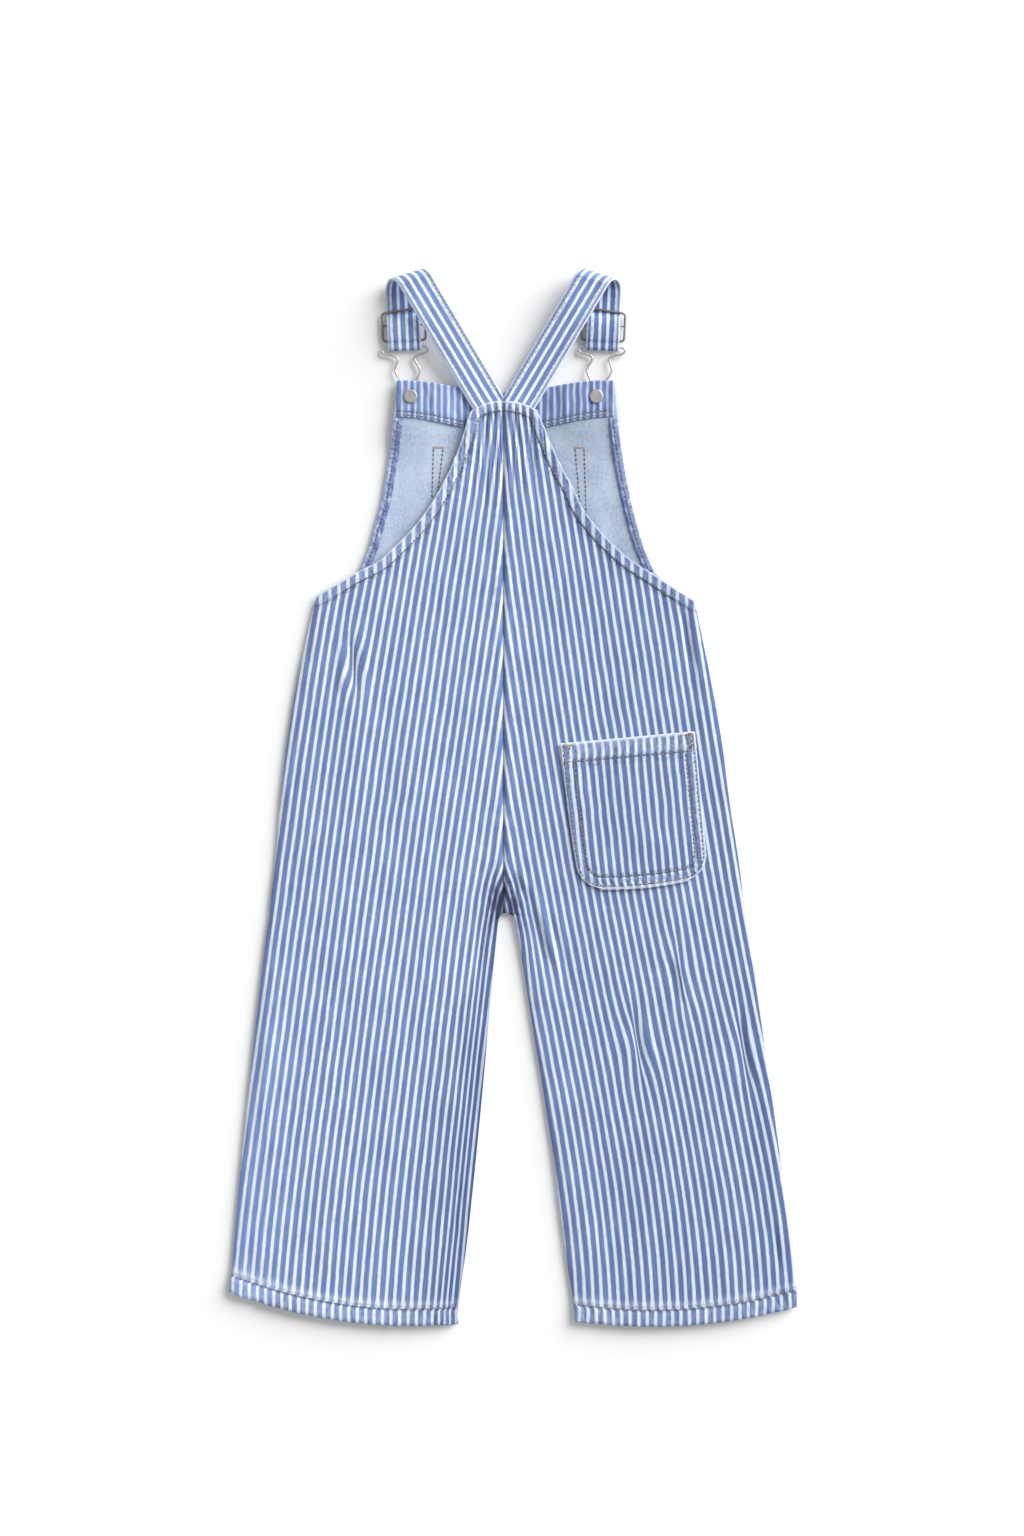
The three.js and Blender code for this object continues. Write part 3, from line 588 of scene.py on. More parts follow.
# The share of white at a stripe coordinate, with the slight wander of real yarns
def stripeGroup():
    tree, given, out = group(
        "whiteStripes", [("Vector", "weave", None), ("Float", "whiteShare", 0.38), ("Float", "soft", 0.06)],
        [("Float", "white")],
    )
    w = Weaver(tree)
    wander = w.noise(given.outputs["weave"], 1.4, 2.0)
    moved = w.math("ADD", w.split(given.outputs["weave"])[0], w.math("MULTIPLY_ADD", wander, 0.1, -0.05))
    away = w.math("ABSOLUTE", w.math("SUBTRACT", w.math("FRACT", w.math("ADD", moved, 0.5)), 0.5))
    half = w.math("MULTIPLY", given.outputs["whiteShare"], 0.5)
    low = w.math("SUBTRACT", half, given.outputs["soft"])
    high = w.math("ADD", half, given.outputs["soft"])
    w.send(out, white=w.step(away, low, high, (1.0, 0.0)))
    return tree


# Rubbed edges and the shadow along a stitch row, from the distance to the edge
def rubAndStitchShadowGroup():
    tree, given, out = group(
        "rubbedEdgesAndStitchShadow", [("Vector", "edge", None), ("Float", "stitchAt", 8.0), ("Float", "rub", 1.1)],
        [("Float", "pale"), ("Float", "deep")],
    )
    w = Weaver(tree)
    edge, run = w.split(given.outputs["edge"])
    stitchAt = given.outputs["stitchAt"]
    ragged = w.noise(w.vector(w.math("DIVIDE", run, 2.6), w.math("DIVIDE", edge, 3.0)), 1.0, 2.0)
    rim = w.step(w.math("MULTIPLY_ADD", ragged, -1.0, edge), given.outputs["rub"], -0.2)
    band = w.math("MULTIPLY", w.step(edge, stitchAt, w.math("SUBTRACT", stitchAt, 1.6)),
                      w.step(ragged, 0.3, 0.7))
    line = w.step(w.math("ABSOLUTE", w.math("SUBTRACT", edge, stitchAt)), 1.1, 0.2)
    within = w.step(w.math("ABSOLUTE", w.math("SUBTRACT", edge, w.math("ADD", stitchAt, 1.6))), 1.7, 0.4)
    deep = w.math("MAXIMUM", line, w.math("MULTIPLY", within, w.step(ragged, 0.42, 0.6)))
    w.send(out, pale=w.math("MAXIMUM", rim, w.math("MULTIPLY", band, 0.3)), deep=deep)
    return tree


def newMaterial(name, roughness, specular=0.25, sheen=0.0):
    material = bpy.data.materials.new(name)
    material.use_nodes = True
    shader = material.node_tree.nodes["Principled BSDF"]
    shader.inputs["Roughness"].default_value = roughness
    shader.inputs["Specular IOR Level"].default_value = specular
    shader.inputs["Sheen Weight"].default_value = sheen
    return material, shader, Weaver(material.node_tree)


yarns = yarnGroup()
stripes = stripeGroup()
rubAndStitchShadow = rubAndStitchShadowGroup()


def stripedCloth(name, contrast=1.0, dim=1.0, stitchAt=8.0, rub=1.1, fade=0.8, soft=0.085):
    material, shader, w = newMaterial(name, 0.88, sheen=0.08)
    where = w.uv("weave")
    yarn = w.placed(yarns, weave=where)
    lift = w.split(w.uv("lift"))[0]
    share = w.math("MULTIPLY_ADD", lift, 0.2, 0.37)
    white = w.placed(stripes, weave=where, soft=soft, whiteShare=share)["white"]
    # The rubbed group's pale output is wear; its deep output is painted shadow along the stitch rows
    worn = w.placed(rubAndStitchShadow, edge=w.uv("edge"), stitchAt=stitchAt, rub=rub)
    # Painted shading from the seam map's second channel: below 1 it darkens the cloth and tints it bluer, above 1
    # it lightens the blue
    seam, paintedShading = w.split(w.uv("seam"))
    blue = w.mix(w.step(yarn["streak"], 0.32, 0.68), linear("deepBlue"), linear("paleBlue"))
    blue = w.mix(0.45, blue, linear("blue"))
    blue = w.mix(w.step(yarn["patch"], 0.4, 0.66, (0.0, 0.6)), blue, linear("violetBlue"))
    blue = w.mix(w.step(yarn["fleck"], 0.6, 0.82, (0.0, 0.3)), blue, linear("white"))
    blue = w.mix(w.step(yarn["slub"], 0.6, 0.78, (0.0, 0.35)), blue, linear("deepBlue"))
    blue = w.mix(w.math("MULTIPLY", lift, 0.36), blue, linear("worn"))
    pale = w.mix(w.step(yarn["slub"], 0.3, 0.72), linear("shadeWhite"), linear("white"))
    shade = w.math("MULTIPLY_ADD", paintedShading, -2.0, 2.0)
    blue = w.mix(shade, w.scaled(blue, w.math("MAXIMUM", paintedShading, 1.0)), halfShadeTint["blue"], "MULTIPLY")
    pale = w.mix(shade, pale, halfShadeTint["white"], "MULTIPLY")
    colour = w.mix(w.math("MULTIPLY", white, contrast), blue, pale)
    rubbedPale = w.mix(shade, linear("worn"), halfShadeTint["white"], "MULTIPLY")
    colour = w.mix(w.math("MULTIPLY", worn["pale"], fade), colour, rubbedPale)
    # Painted shade: a dark line along the centre seam's groove
    seamGrooveShade = w.step(w.math("ABSOLUTE", seam), 1.3, 0.1, (1.0, 0.62))
    paintedDarkening = w.math("MINIMUM", w.math("MULTIPLY", paintedShading, 2.0), 1.0)
    level = w.math("MULTIPLY", w.step(yarn["cloud"], 0.25, 0.75, (0.94 * dim, 1.05 * dim)), paintedDarkening)
    level = w.math("MULTIPLY", level, w.math("MULTIPLY", seamGrooveShade,
                                                    w.math("MULTIPLY_ADD", worn["deep"], -0.32, 1.0)))
    w.send(shader, **{"Base Color": w.scaled(colour, level)})
    w.bump(shader, w.math("ADD", yarn["height"], w.math("MULTIPLY", yarn["slub"], 1.6)), 0.4, 0.00025)
    return material


def insideCloth(name):
    material, shader, w = newMaterial(name, 0.92, 0.2, 0.15)
    where = w.uv("weave")
    yarn = w.placed(yarns, weave=where)
    # The inside's colour is scaled by the painted shading in the seam map's second channel
    paintedShading = w.split(w.uv("seam"))[1]
    heather = w.noise(where, 3.4, 3.0, 0.8)
    colour = w.mix(w.step(heather, 0.34, 0.66), linear("insideDeep"), linear("insidePale"))
    colour = w.mix(w.step(yarn["fleck"], 0.35, 0.65, (0.2, 0.6)), colour, linear("inside"))
    colour = w.mix(w.step(yarn["streak"], 0.45, 0.75, (0.0, 0.3)), colour, linear("insideDeep"))
    colour = w.mix(w.step(yarn["cloud"], 0.38, 0.68, (0.0, 0.55)), colour, linear("insidePale"))
    colour = w.mix(w.step(yarn["slub"], 0.55, 0.8, (0.0, 0.3)), colour, linear("white"))
    w.send(shader, **{"Base Color": w.scaled(colour, paintedShading)})
    w.bump(shader, w.math("ADD", yarn["height"], w.math("MULTIPLY", yarn["fleck"], 1.4)), 0.45, 0.00025)
    return material


def threadCloth(name, tone):
    material, shader, w = newMaterial(name, 0.65)
    where = material.node_tree.nodes.new("ShaderNodeTexCoord").outputs["Object"]
    twist = w.noise(where, 1400.0, 2.0)
    tint = w.noise(where, 110.0, 1.0)
    colour = w.mix(w.step(twist, 0.3, 0.7, (0.0, 0.35)), linear(tone), linear("paleThread"))
    colour = w.mix(w.step(tint, 0.55, 0.7, (0.0, 0.45)), colour, linear("tan"))
    w.send(shader, **{"Base Color": colour})
    w.bump(shader, twist, 0.3, 0.0002)
    return material


def metal(name, tone, roughness):
    material, shader, w = newMaterial(name, roughness, 0.5)
    where = material.node_tree.nodes.new("ShaderNodeTexCoord").outputs["Object"]
    grain = w.noise(where, 900.0, 3.0)
    level = w.step(w.noise(where, 120.0, 2.0), 0.3, 0.7, (0.86, 1.05))
    shader.inputs["Metallic"].default_value = 0.6
    w.send(shader, **{"Base Color": w.scaled(linear(tone), level),
                      "Roughness": w.step(grain, 0.3, 0.7, (roughness - 0.06, roughness + 0.08))})
    w.bump(shader, grain, 0.15, 0.00008)
    return material


denim = stripedCloth("stripedDenim")
# The straps' copy of the denim is made lighter (dim 1.2): painted light that offsets the shade the raised straps
# get
strapDenim = stripedCloth("strapDenim", dim=1.2, stitchAt=2.4, rub=0.9)
facingDenim = stripedCloth("facingDenim", contrast=0.6, dim=1.13, soft=0.14)
inside = insideCloth("denimInside")
thread = threadCloth("greyThread", "thread")
paleThread = threadCloth("paleThread", "paleThread")
tan = threadCloth("tanThread", "tan")
wireMetal = metal("wireMetal", "wire", 0.34)
slideMetal = metal("slideMetal", "slide", 0.4)
tackMetal = metal("tackMetal", "tack", 0.5)
print("materials made")


# The back's two pieces

panel = {"columns": 118, "hemStitch": 13.6, "armStitch": 8.0, "top": 741.0}
stripeFit = {title: np.polyfit(np.array(stripeRun["height"]) / 100, stripeRun[title], 4)
             for title in ("left", "right", "pitch")}


def stripeCount(side, x, y):
    return np.polyval(stripeFit[side], y / 100) - np.abs(x) / np.polyval(stripeFit["pitch"], y / 100)


def panelFacts(side, place):
    rows = outline[side]
    outerY, outerX = (smoothAt(rows[:, k], place, (underarmRow,)) for k in (0, 1))
    innerX, innerY = (smoothAt(rows[:, k], place, (crotchRow + 1,)) for k in (2, 3))
    return outerX, outerY, innerX, innerY, smoothAt(rows[:, 4], place)


def sectionPoint(side, place, share):
    outerX, outerY, innerX, innerY, sag = panelFacts(side, place)
    return lerp(innerX, outerX, share), lerp(innerY, outerY, share) - sag * 4 * share * (1 - share)


def panelPlaces(rows):
    places = []
    for i in range(len(rows) - 1):
        finest = 1.1 if i == 0 else 1.8 if i > 17 else 2.4 if i > 11 else 3.0
        steps = max(3, math.ceil((rows[i + 1, 3] - rows[i, 3]) / finest))
        places.extend(i + np.arange(steps) / steps)
    return np.array([*places, len(rows) - 1])


# The armhole's edge from the underarm up, and on along the top to the centre seam
def armLine(side):
    last = len(outline[side]) - 1
    around = [sectionPoint(side, place, 1.0) for place in np.arange(underarmRow, last + 0.01, 0.2)]
    return around + [sectionPoint(side, last, share) for share in np.linspace(0.94, 0, 14)]


def hemLine(side):
    return [sectionPoint(side, 0, share) for share in np.linspace(0, 1, 50)]


# How the creases stand and how they draw the stripes together
def creaseFields(x, y):
    height, pinch = np.zeros(x.shape), np.zeros(x.shape)
    for x0, y0, x1, y1, width, rise in creases:
        dx, dy = x1 - x0, y1 - y0
        share = ((x - x0) * dx + (y - y0) * dy) / (dx * dx + dy * dy)
        off = ((x - x0) * dy - (y - y0) * dx) / math.hypot(dx, dy)
        strength = rise * ease(share * 3) * ease((1 - share) * 3)
        height += strength * groove(off, width * 0.75)
        pinch += strength * off / width * groove(off, width * 1.6)
    pinch *= 0.07
    for x0, y0, x1, y1, reach, taken in tucks:
        dx, dy = x1 - x0, y1 - y0
        share = ((x - x0) * dx + (y - y0) * dy) / (dx * dx + dy * dy)
        off = ((x - x0) * dy - (y - y0) * dx) / math.hypot(dx, dy)
        pinch -= 0.5 * taken * groove(share - 0.5, 0.42) * np.tanh(off / 1.4) * groove(off, reach)
    return height, pinch


# Hems, the centre seam and their puckers, as a height to add to the cloth's own
def sewnRelief(x, y, edge, run, seam):
    relief = 0.5 * ease((8.6 - edge) / 1.8) - 0.6 * groove(edge - 8.2, 0.9)
    relief += 0.2 * np.sin(run + 0.8 * edge) * ease((12.5 - edge) / 4)
    relief += 0.5 * noiseAt(run, edge * 0.3, 5.0, 5.0) * ease((22 - edge) / 12)
    relief += 0.35 * groove(seam - 4.5, 2.4) - 0.9 * groove(seam, 1.4)
    relief += 0.7 * noiseAt(seam * 0.25, y, 7.0, 3.0) * groove(seam, 12)
    gathered = ease((y - 650) / 75) * ease((panel["top"] - 5 - y) / 6)
    return relief - 1.1 * gathered * groove(noiseAt(x, y * 0.05, 3.4, 11.0), 0.12)


# Where the cloth turns away into the crotch and along the left leg's inner edge, and how far that is
def innerFold(side, x, y):
    legs = outline[side][:6]
    away = np.maximum(np.abs(x) - np.abs(np.interp(y, [*legs[:, 3], 350], [*legs[:, 2], 0])), 0)
    below = ease((375 - y) / 36)
    if side == "left":
        return away, below * np.exp(-((away / 13) ** 2))
    return away, below * np.exp(-((away / 11) ** 2)) * ease((y - 255) / 75)


# Painted shading of the back's cloth: darker in the crotch, along the legs' inner edges and over the wearer's
# right side, lighter along the left leg's outer edge and a little towards the top
backPaintedShading = {
    "top": 0.02,
    "crotch": 1.15,
    "darkest": 0.25,
    "fold": 0.26,
    "foldEdge": 0.3,
    "outer": 0.24,
    "inner": 0.36,
    "rightSide": 0.15,
    "rightOuter": 0.18,
    "rightLeg": 0.07,
}


def paintedShadingOf(side, x, y, toOuter):
    away, fold = innerFold(side, x, y)
    legs = ease((345 - y) / 150)
    top = 1 + backPaintedShading["top"] * ease((y - 600) / 90)
    deep = groove(y - 342, 21) * groove(away, 13)
    deep = np.maximum(1 - backPaintedShading["crotch"] * deep * (0.85 + 0.7 * noiseAt(x, y * 0.5, 3.0, 41.0)),
                      backPaintedShading["darkest"])
    inner = ease((70 - away) / 70)
    if side == "left":
        paintedDarkening = 1 - backPaintedShading["fold"] * fold * (1 + 0.5 * noiseAt(x, y * 0.12, 4.0, 42.0))
        paintedDarkening = paintedDarkening - backPaintedShading["foldEdge"] * fold * groove(away, 2.6)
        return deep * paintedDarkening * top * (1 + backPaintedShading["outer"] * ease((60 - toOuter) / 60) * legs
                                     - backPaintedShading["inner"] * legs * inner)
    return deep * top * (1 - backPaintedShading["rightSide"] * ease((x - 10) / 70) * (1 - 0.6 * legs * inner)
                         - backPaintedShading["rightOuter"] * ease((40 - toOuter) / 40)
                         - backPaintedShading["rightLeg"] * legs * ease((x - 50) / 60))


def backPanel(side):
    places = panelPlaces(outline[side])
    t = np.linspace(0, 1, panel["columns"])
    shares = t - 0.65 / (2 * np.pi) * np.sin(2 * np.pi * t)
    x, y, toInner, toOuter = (np.zeros((len(places), len(shares))) for _ in range(4))
    for i, place in enumerate(places):
        outerX, outerY, innerX, innerY, _ = panelFacts(side, place)
        x[i], y[i] = sectionPoint(side, place, shares)
        width = math.hypot(outerX - innerX, outerY - innerY)
        toInner[i], toOuter[i] = shares * width, (1 - shares) * width
    arm, armRun = nearLine(armLine(side), x, y)
    hem, hemRun = nearLine(hemLine(side), x, y)
    up = hem - panel["hemStitch"]
    hem = np.where(up > 0, up, up * 5 / panel["hemStitch"]) + panel["armStitch"]
    edge, run = np.minimum(arm, hem), np.where(arm < hem, armRun, hemRun)
    seam = np.where(places[:, None] > crotchRow + 0.5, toInner, 99.0)
    crease, pinch = creaseFields(x, y)
    cad = blurred(topOf("back_" + side, x, y), 6)
    soft = ease(edge / 9) * ease(toOuter / 9) * ease(toInner / 8 + 0.3)
    heights = cad + soft * (crease + 0.7 * noiseAt(x, y * 0.35, 34.0, 1.0)
                            + 0.3 * noiseAt(x, y * 0.5, 12.0, 2.0))
    heights = np.maximum(heights + sewnRelief(x, y, edge, run, seam), cad - 1.1)
    outer = np.stack([x, y, heights], -1)

    # Under a stitch row the stripes run straight, as in cloth that is held by its fold
    stitchY = y + np.maximum(-up, 0)
    count = stripeCount(side, x, stitchY) + 0.1 * noiseAt(x, y * 0.35, 48.0, 21.0)
    count += soft * ((pinch if side == "left" else -pinch) + 0.05 * noiseAt(x, y * 0.4, 13.0, 22.0))
    count += 0.35 * ease(-up / 1.5)
    lift = groove(up - 2.6, 3.4) * ease(up / 1.2 + 0.6) * (0.75 + 0.5 * noiseAt(run, 0 * run, 5.0, 31.0))
    count += 0.3 * ease((8.4 - arm) / 2) * (8.4 - np.minimum(arm, 8.4)) / 8
    count += (1.3 if side == "left" else 1.0) * innerFold(side, x, y)[1]
    maps = mapsOf(count, y, edge, run, seam, paintedShadingOf(side, x, y, toOuter), lift)
    thing = shell("backPanel_" + side, outer, clothThick, maps, [denim, inside], floor=1.75)
    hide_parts("back_" + side)
    return thing, outer


panels = {side: backPanel(side) for side in ("left", "right")}
searches = {side: searchGrid(outer) for side, (_, outer) in panels.items()}
print("back made")

for side, (thing, outer) in panels.items():
    sign = 1 if side == "left" else -1
    armRow = offsetLine(armLine(side)[4:-13], -sign * 7.6)
    hemRow = offsetLine(hemLine(side), -sign * (panel["hemStitch"] - 0.4))
    last = len(outline[side]) - 1
    topRow = offsetLine([sectionPoint(side, last, share) for share in np.linspace(0.9, 0.03, 20)], -sign * 7.6)
    lines = [laidOn(searches[side], row) for row in (armRow, hemRow, topRow)]
    rows = stitchRows("panelStitches_" + side, "striped_denim", lines, thread)
print("panel stitches made")


# The front legs, which lie under the back's

def frontLeg(side):
    sign = -1 if side == "left" else 1
    shares = np.linspace(0, 1, 30)
    rows = []
    for place in [*np.linspace(0, 1, 5), *np.linspace(1.06, 10, 80)]:
        outerX, outerY, innerX, innerY, sag = panelFacts(side, place)
        x = lerp(innerX, outerX - sign * 0.4, shares)
        y = lerp(innerY, outerY, shares) - sag * 4 * shares * (1 - shares)
        rows.append(np.stack([x, y, np.full(shares.shape, 1.5 + 0.8 * float(ease((1.05 - place) * 12)))], -1))
    top = np.interp(waist, bibSides[:, 0], bibSides[:, 1 if sign < 0 else 2])
    rows.append(np.stack([lerp(sign * 0.2, top - sign * 0.4, shares), np.full(shares.shape, waist),
                          np.full(shares.shape, 1.5)], -1))
    outer = np.array(rows)
    maps = mapsOf(stripeCount(side, outer[..., 0], outer[..., 1]), outer[..., 1])
    made = shell("frontLeg_" + side, outer, outer[..., 2] - 0.02, maps, [inside, denim])
    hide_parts("front_leg_" + side)


frontLeg("left")
frontLeg("right")


# The bib with its facing, side hems and chest pocket

bib = {"corner": 758.0, "middle": 749.0, "thick": 1.2}
facing = {"low": 717.4, "lowCorner": 729.3, "left": -85.0, "right": 88.0, "thick": 0.9, "pitch": 5.3,
          "rows": (1.5, 4.3)}
bibHem = {"width": 7.4, "start": 606.0, "end": 727.5, "thick": 0.9, "row": 3.9}
chestPocket = {"x": 4.0, "top": 706.0, "height": 114.0, "width": 120.0, "corner": 14.0, "thick": 1.0}


def bibSideAt(y, side):
    return np.interp(y, bibSides[:, 0], bibSides[:, 1 if side < 0 else 2])


def bibTopY(x):
    return lerp(bib["middle"], bib["corner"], ease(np.abs(x) / 78))


def facingLowY(x):
    return lerp(facing["low"], facing["lowCorner"], ease(np.abs(x) / 86))


levels = lerp(waist + 0.3, bib["corner"], np.linspace(0, 1, 110))
shares = np.linspace(0, 1, 130)
x = np.array([lerp(bibSideAt(level, -1), bibSideAt(level, 1), shares) for level in levels])
climb = ease((levels - 640) / (bib["corner"] - 640))[:, None]
y = lerp(levels[:, None] + 0 * x, np.minimum(levels[:, None], bibTopY(x) + levels[:, None] - bib["corner"]),
         climb)
z = blurred(topOf("front_bib", x, y), 3)
free = ease((z - 1.3) / 0.8)
z += free * (0.5 * noiseAt(x, y * 0.6, 26.0, 4.0) + 0.25 * noiseAt(x, y, 9.0, 6.0))
bibOuter = np.stack([x, y, np.maximum(z, 1.4)], -1)
# Painted shade: the bib grows darker towards the wearer's right, like the back
bibPaintedShade = 1.0 - 0.17 * ease((x + 10) / 60)
bibThing = shell("bibCloth", bibOuter, bib["thick"], mapsOf(x / pitch, y, paintedShading=bibPaintedShade),
                    [inside, denim], floor=0.05)
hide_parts("front_bib")
bibSearch = searchGrid(bibOuter)

x = np.linspace(facing["left"], facing["right"], 170)[None, :] + np.zeros((24, 1))
rise = np.linspace(0, 1, 24)[:, None]
low = facingLowY(x)
y = lerp(low, bibTopY(x) - 0.4, rise)
z = blurred(topOf("bib_facing", x, y), 2)
z += 0.4 * np.sin(x / 1.9 + 3 * noiseAt(x, y, 16.0, 2.0)) * ease((1 - np.abs(rise - 0.5) * 2) * 1.6)
z -= 0.4 * groove(y - low - 1.5, 0.9) + 0.4 * groove(y - low - 4.3, 0.9)
facingOuter = np.stack([x, y, z], -1)
# Painted shade: the facing darker towards the wearer's right, and a dark line along its upper stitch row's groove
facingPaintedShade = (1.0 - 0.22 * ease((x - 10) / 40)) * (1 - 0.3 * groove(y - low - 4.6, 1.2)
                                              * (0.8 + noiseAt(x, y, 2.6, 5.0)))
facingMaps = mapsOf(x / facing["pitch"] + 0.3 + 0.1 * noiseAt(x, y, 12.0, 9.0), y, paintedShading=facingPaintedShade)
facingThing = shell("facingCloth", facingOuter, facing["thick"], facingMaps, [facingDenim])
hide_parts("bib_facing")
facingSearch = searchGrid(facingOuter)
facingLines = [laidOn(facingSearch, [(px, float(facingLowY(px)) + up) for px in np.linspace(-84.5, 87.5, 110)])
               for up in facing["rows"]]
bibPieces = [facingThing, stitchRows("facingStitches", "striped_denim", facingLines, thread)]

for name, side in (("left", -1), ("right", 1)):
    span = np.linspace(bibHem["start"], bibHem["end"], 130)
    inset = np.linspace(0.3, bibHem["width"], 10)[None, :]
    x = bibSideAt(span, side)[:, None] - side * inset
    y = span[:, None] + 0 * x
    z = blurred(topOf("bib_hem_" + name, x, y), 3) + 0.2 * np.sin(y * 0.9 + inset * 0.6)
    z -= 0.35 * groove(inset - bibHem["row"], 0.9)
    hemOuter = np.stack([x, y, z], -1)
    # The band is a little darker overall, and painted shade darkens it along its inner edge
    hemPaintedShade = 0.92 - 0.3 * ease((inset - bibHem["width"] + 1.8) / 1.4) + 0 * x
    hemCount = 0.73 + 0.22 * noiseAt(x * 2.5, y, 7.0, 14.0) + 0.16 * noiseAt(x, y, 1.7, 15.0)
    hemMaps = mapsOf(hemCount, y, inset * 8 / bibHem["row"], y, paintedShading=hemPaintedShade)
    hem = shell("bibHem_" + name, hemOuter, bibHem["thick"], hemMaps, [facingDenim])
    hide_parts("bib_hem_" + name)
    row = laidOn(searchGrid(hemOuter), [(bibSideAt(v, side) - side * bibHem["row"], v) for v in span[1:-1]])
    bibPieces += [hem, stitchRows("bibHemStitches_" + name, "striped_denim", [row], thread, radius=0.66)]


# The half width of a pocket's outline at a distance down from its top edge
def pocketHalf(size, down):
    cut = np.maximum(down - (size["height"] - size["corner"]), 0)
    return size["width"] / 2 - size["corner"] + np.sqrt(np.maximum(size["corner"] ** 2 - cut**2, 0))


down = np.linspace(0, chestPocket["height"], 60)[:, None]
across = np.linspace(-1, 1, 50)[None, :] * pocketHalf(chestPocket, down)
chestOuter = np.stack([chestPocket["x"] + across, chestPocket["top"] - down + 0 * across,
                       0 * across + 1.0], -1)
chestMaps = mapsOf(chestOuter[..., 0] / pitch, chestOuter[..., 1])
chest = shell("chestPocket", chestOuter, 0.98, chestMaps, [denim])
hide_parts("chest_pocket")

# The chest pocket's sewing comes through the bib: two rows down from a bar tack at each top corner
sewnThrough = (
    (((-56.0, 704.0), (-57.3, 664.0)), ((-48.4, 704.0), (-53.2, 664.0))),
    (((57.4, 704.0), (61.4, 660.0)), ((64.6, 704.0), (66.4, 650.0))),
)
shown, tacks = [], []
for first, second in sewnThrough:
    for (ax, ay), (bx, by) in (first, second):
        shown.append(laidOn(bibSearch, [(lerp(ax, bx, t), lerp(ay, by, t)) for t in np.linspace(0, 1, 24)]))
    for across in np.arange(first[0][0] - 0.4, second[0][0] + 0.5, 0.55):
        tacks.append(laidOn(bibSearch, [(across, 703.6), (across, 705.9)]))
edgeShown = [laidOn(bibSearch, [(px, 706.5 + 0.02 * (px - 4)) for px in np.linspace(a, b, 30)])
             for a, b in ((-48, -26), (40, 57))]
bibPieces += [
    stitchRows("pocketStitchesInside", "wrong_side", shown, thread, radius=0.62, sink=0.16),
    stitchRows("tacksInside", "wrong_side", tacks, tan, length=2.2, gap=0.1, radius=0.34),
    stitchRows("pocketEdgeInside", "wrong_side", edgeShown, paleThread, radius=0.26, sink=0.14),
]
print("bib made")


# The back pocket, moved out from the panel below it

pocket = {"x": 99.2, "y": 472.2, "width": 107.6, "height": 114.6, "corner": 17.0, "turn": 5.4, "hem": 15.0,
          "rows": (1.8, 8.4), "thick": 1.1, "bulge": 5.0, "shift": 2.2, "taper": 0.045, "upright": 0.065}
turn = math.radians(pocket["turn"])


# The sewn patch isn't a true rectangle: it narrows and its lower edge hangs in a bow
def onPocket(across, down):
    low = (down / pocket["height"]) ** 2
    across = across * (1 - pocket["taper"] * low) + pocket["shift"] * low
    down = down + pocket["bulge"] * low * (1 - (across / pocket["width"] * 2) ** 2)
    return (pocket["x"] + across * math.cos(turn) + down * math.sin(turn),
            pocket["y"] + across * math.sin(turn) * 0.95 - down * math.cos(turn))


# The pocket's outline from its upper left corner round to the right one, moved in by a distance
def pocketLine(inset, start=0.0):
    half, low = pocket["width"] / 2 - inset, pocket["height"] - inset
    corner = pocket["corner"] - inset * 0.6
    turns = np.linspace(0, math.pi / 2, 14)
    left = [(-half + corner - corner * math.cos(t), low - corner + corner * math.sin(t)) for t in turns]
    right = [(-a, d) for a, d in left[::-1]]
    sides = np.linspace(start, low - corner, 24)[:-1]
    return [*[(-half, d) for d in sides], *left,
            *[(a, low) for a in np.linspace(left[-1][0], right[0][0], 14)[1:-1]],
            *right, *[(half, d) for d in sides[::-1]]]


down = np.concatenate([np.linspace(0, 17, 18), np.linspace(19, 90, 34), np.linspace(92, 116, 26)])[:, None]
spread = np.linspace(-1, 1, 74)[None, :]
across = (np.sin(spread * math.pi / 2) * 0.35 + spread * 0.65) * pocketHalf(pocket, down)
px, py = onPocket(across, down)
under = heightsOver(searches["right"], px, py)
side, run = nearLine(pocketLine(0.0), across, down + 0 * across)
side = side * 8 / pocket["rows"][1]
top = (down * 8 / pocket["hem"]) + 0 * across
edge, run = np.minimum(side, top), np.where(side < top, run, across)
pz = np.maximum(blurred(under, 10) + 1.7, under + 1.4) + 0.35 * ease((8.4 - edge) / 2)
pz += 0.28 * np.sin(run + 0.8 * edge) * ease((10 - edge) / 4) - 0.5 * groove(edge - 8.1, 0.9)
pz += 0.4 * noiseAt(px, py, 24.0, 8.0) * ease(edge / 9) + 0.35 * noiseAt(px, py, 6.0, 9.0) * ease((16 - edge) / 8)
pocketOuter = np.stack([px, py, np.maximum(pz, under + 1.35)], -1)
pocketCount = stripeCount("right", px, py) + 0.12 + 0.1 * noiseAt(px, py, 20.0, 12.0)
pocketCount += 0.12 * ease((8 - top) / 2)
pocketCount -= pocket["upright"] * down / np.polyval(stripeFit["pitch"], py / 100)
band = ease((9.5 - side) / 1.5) * ease((side - 1.2) / 1.5) * ease((down - 15) / 3)
# Painted shade: the pocket darker overall, like the panel's right side, and darker still in the puckered band
# between its side rows; its hem band is lighter
pocketShading = 0.81 - 0.14 * band * (1 + noiseAt(px, py, 3.4, 13.0)) + 0.12 * ease((9 - top) / 2)
pocketMaps = mapsOf(pocketCount, py, edge, run, paintedShading=pocketShading)
pocketThing = shell("backPocketCloth", pocketOuter, pocket["thick"], pocketMaps, [denim, inside])
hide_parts("back_pocket")
pocketSearch = searchGrid(pocketOuter)


def onPocketCloth(line):
    return laidOn(pocketSearch, [onPocket(a, d) for a, d in line])


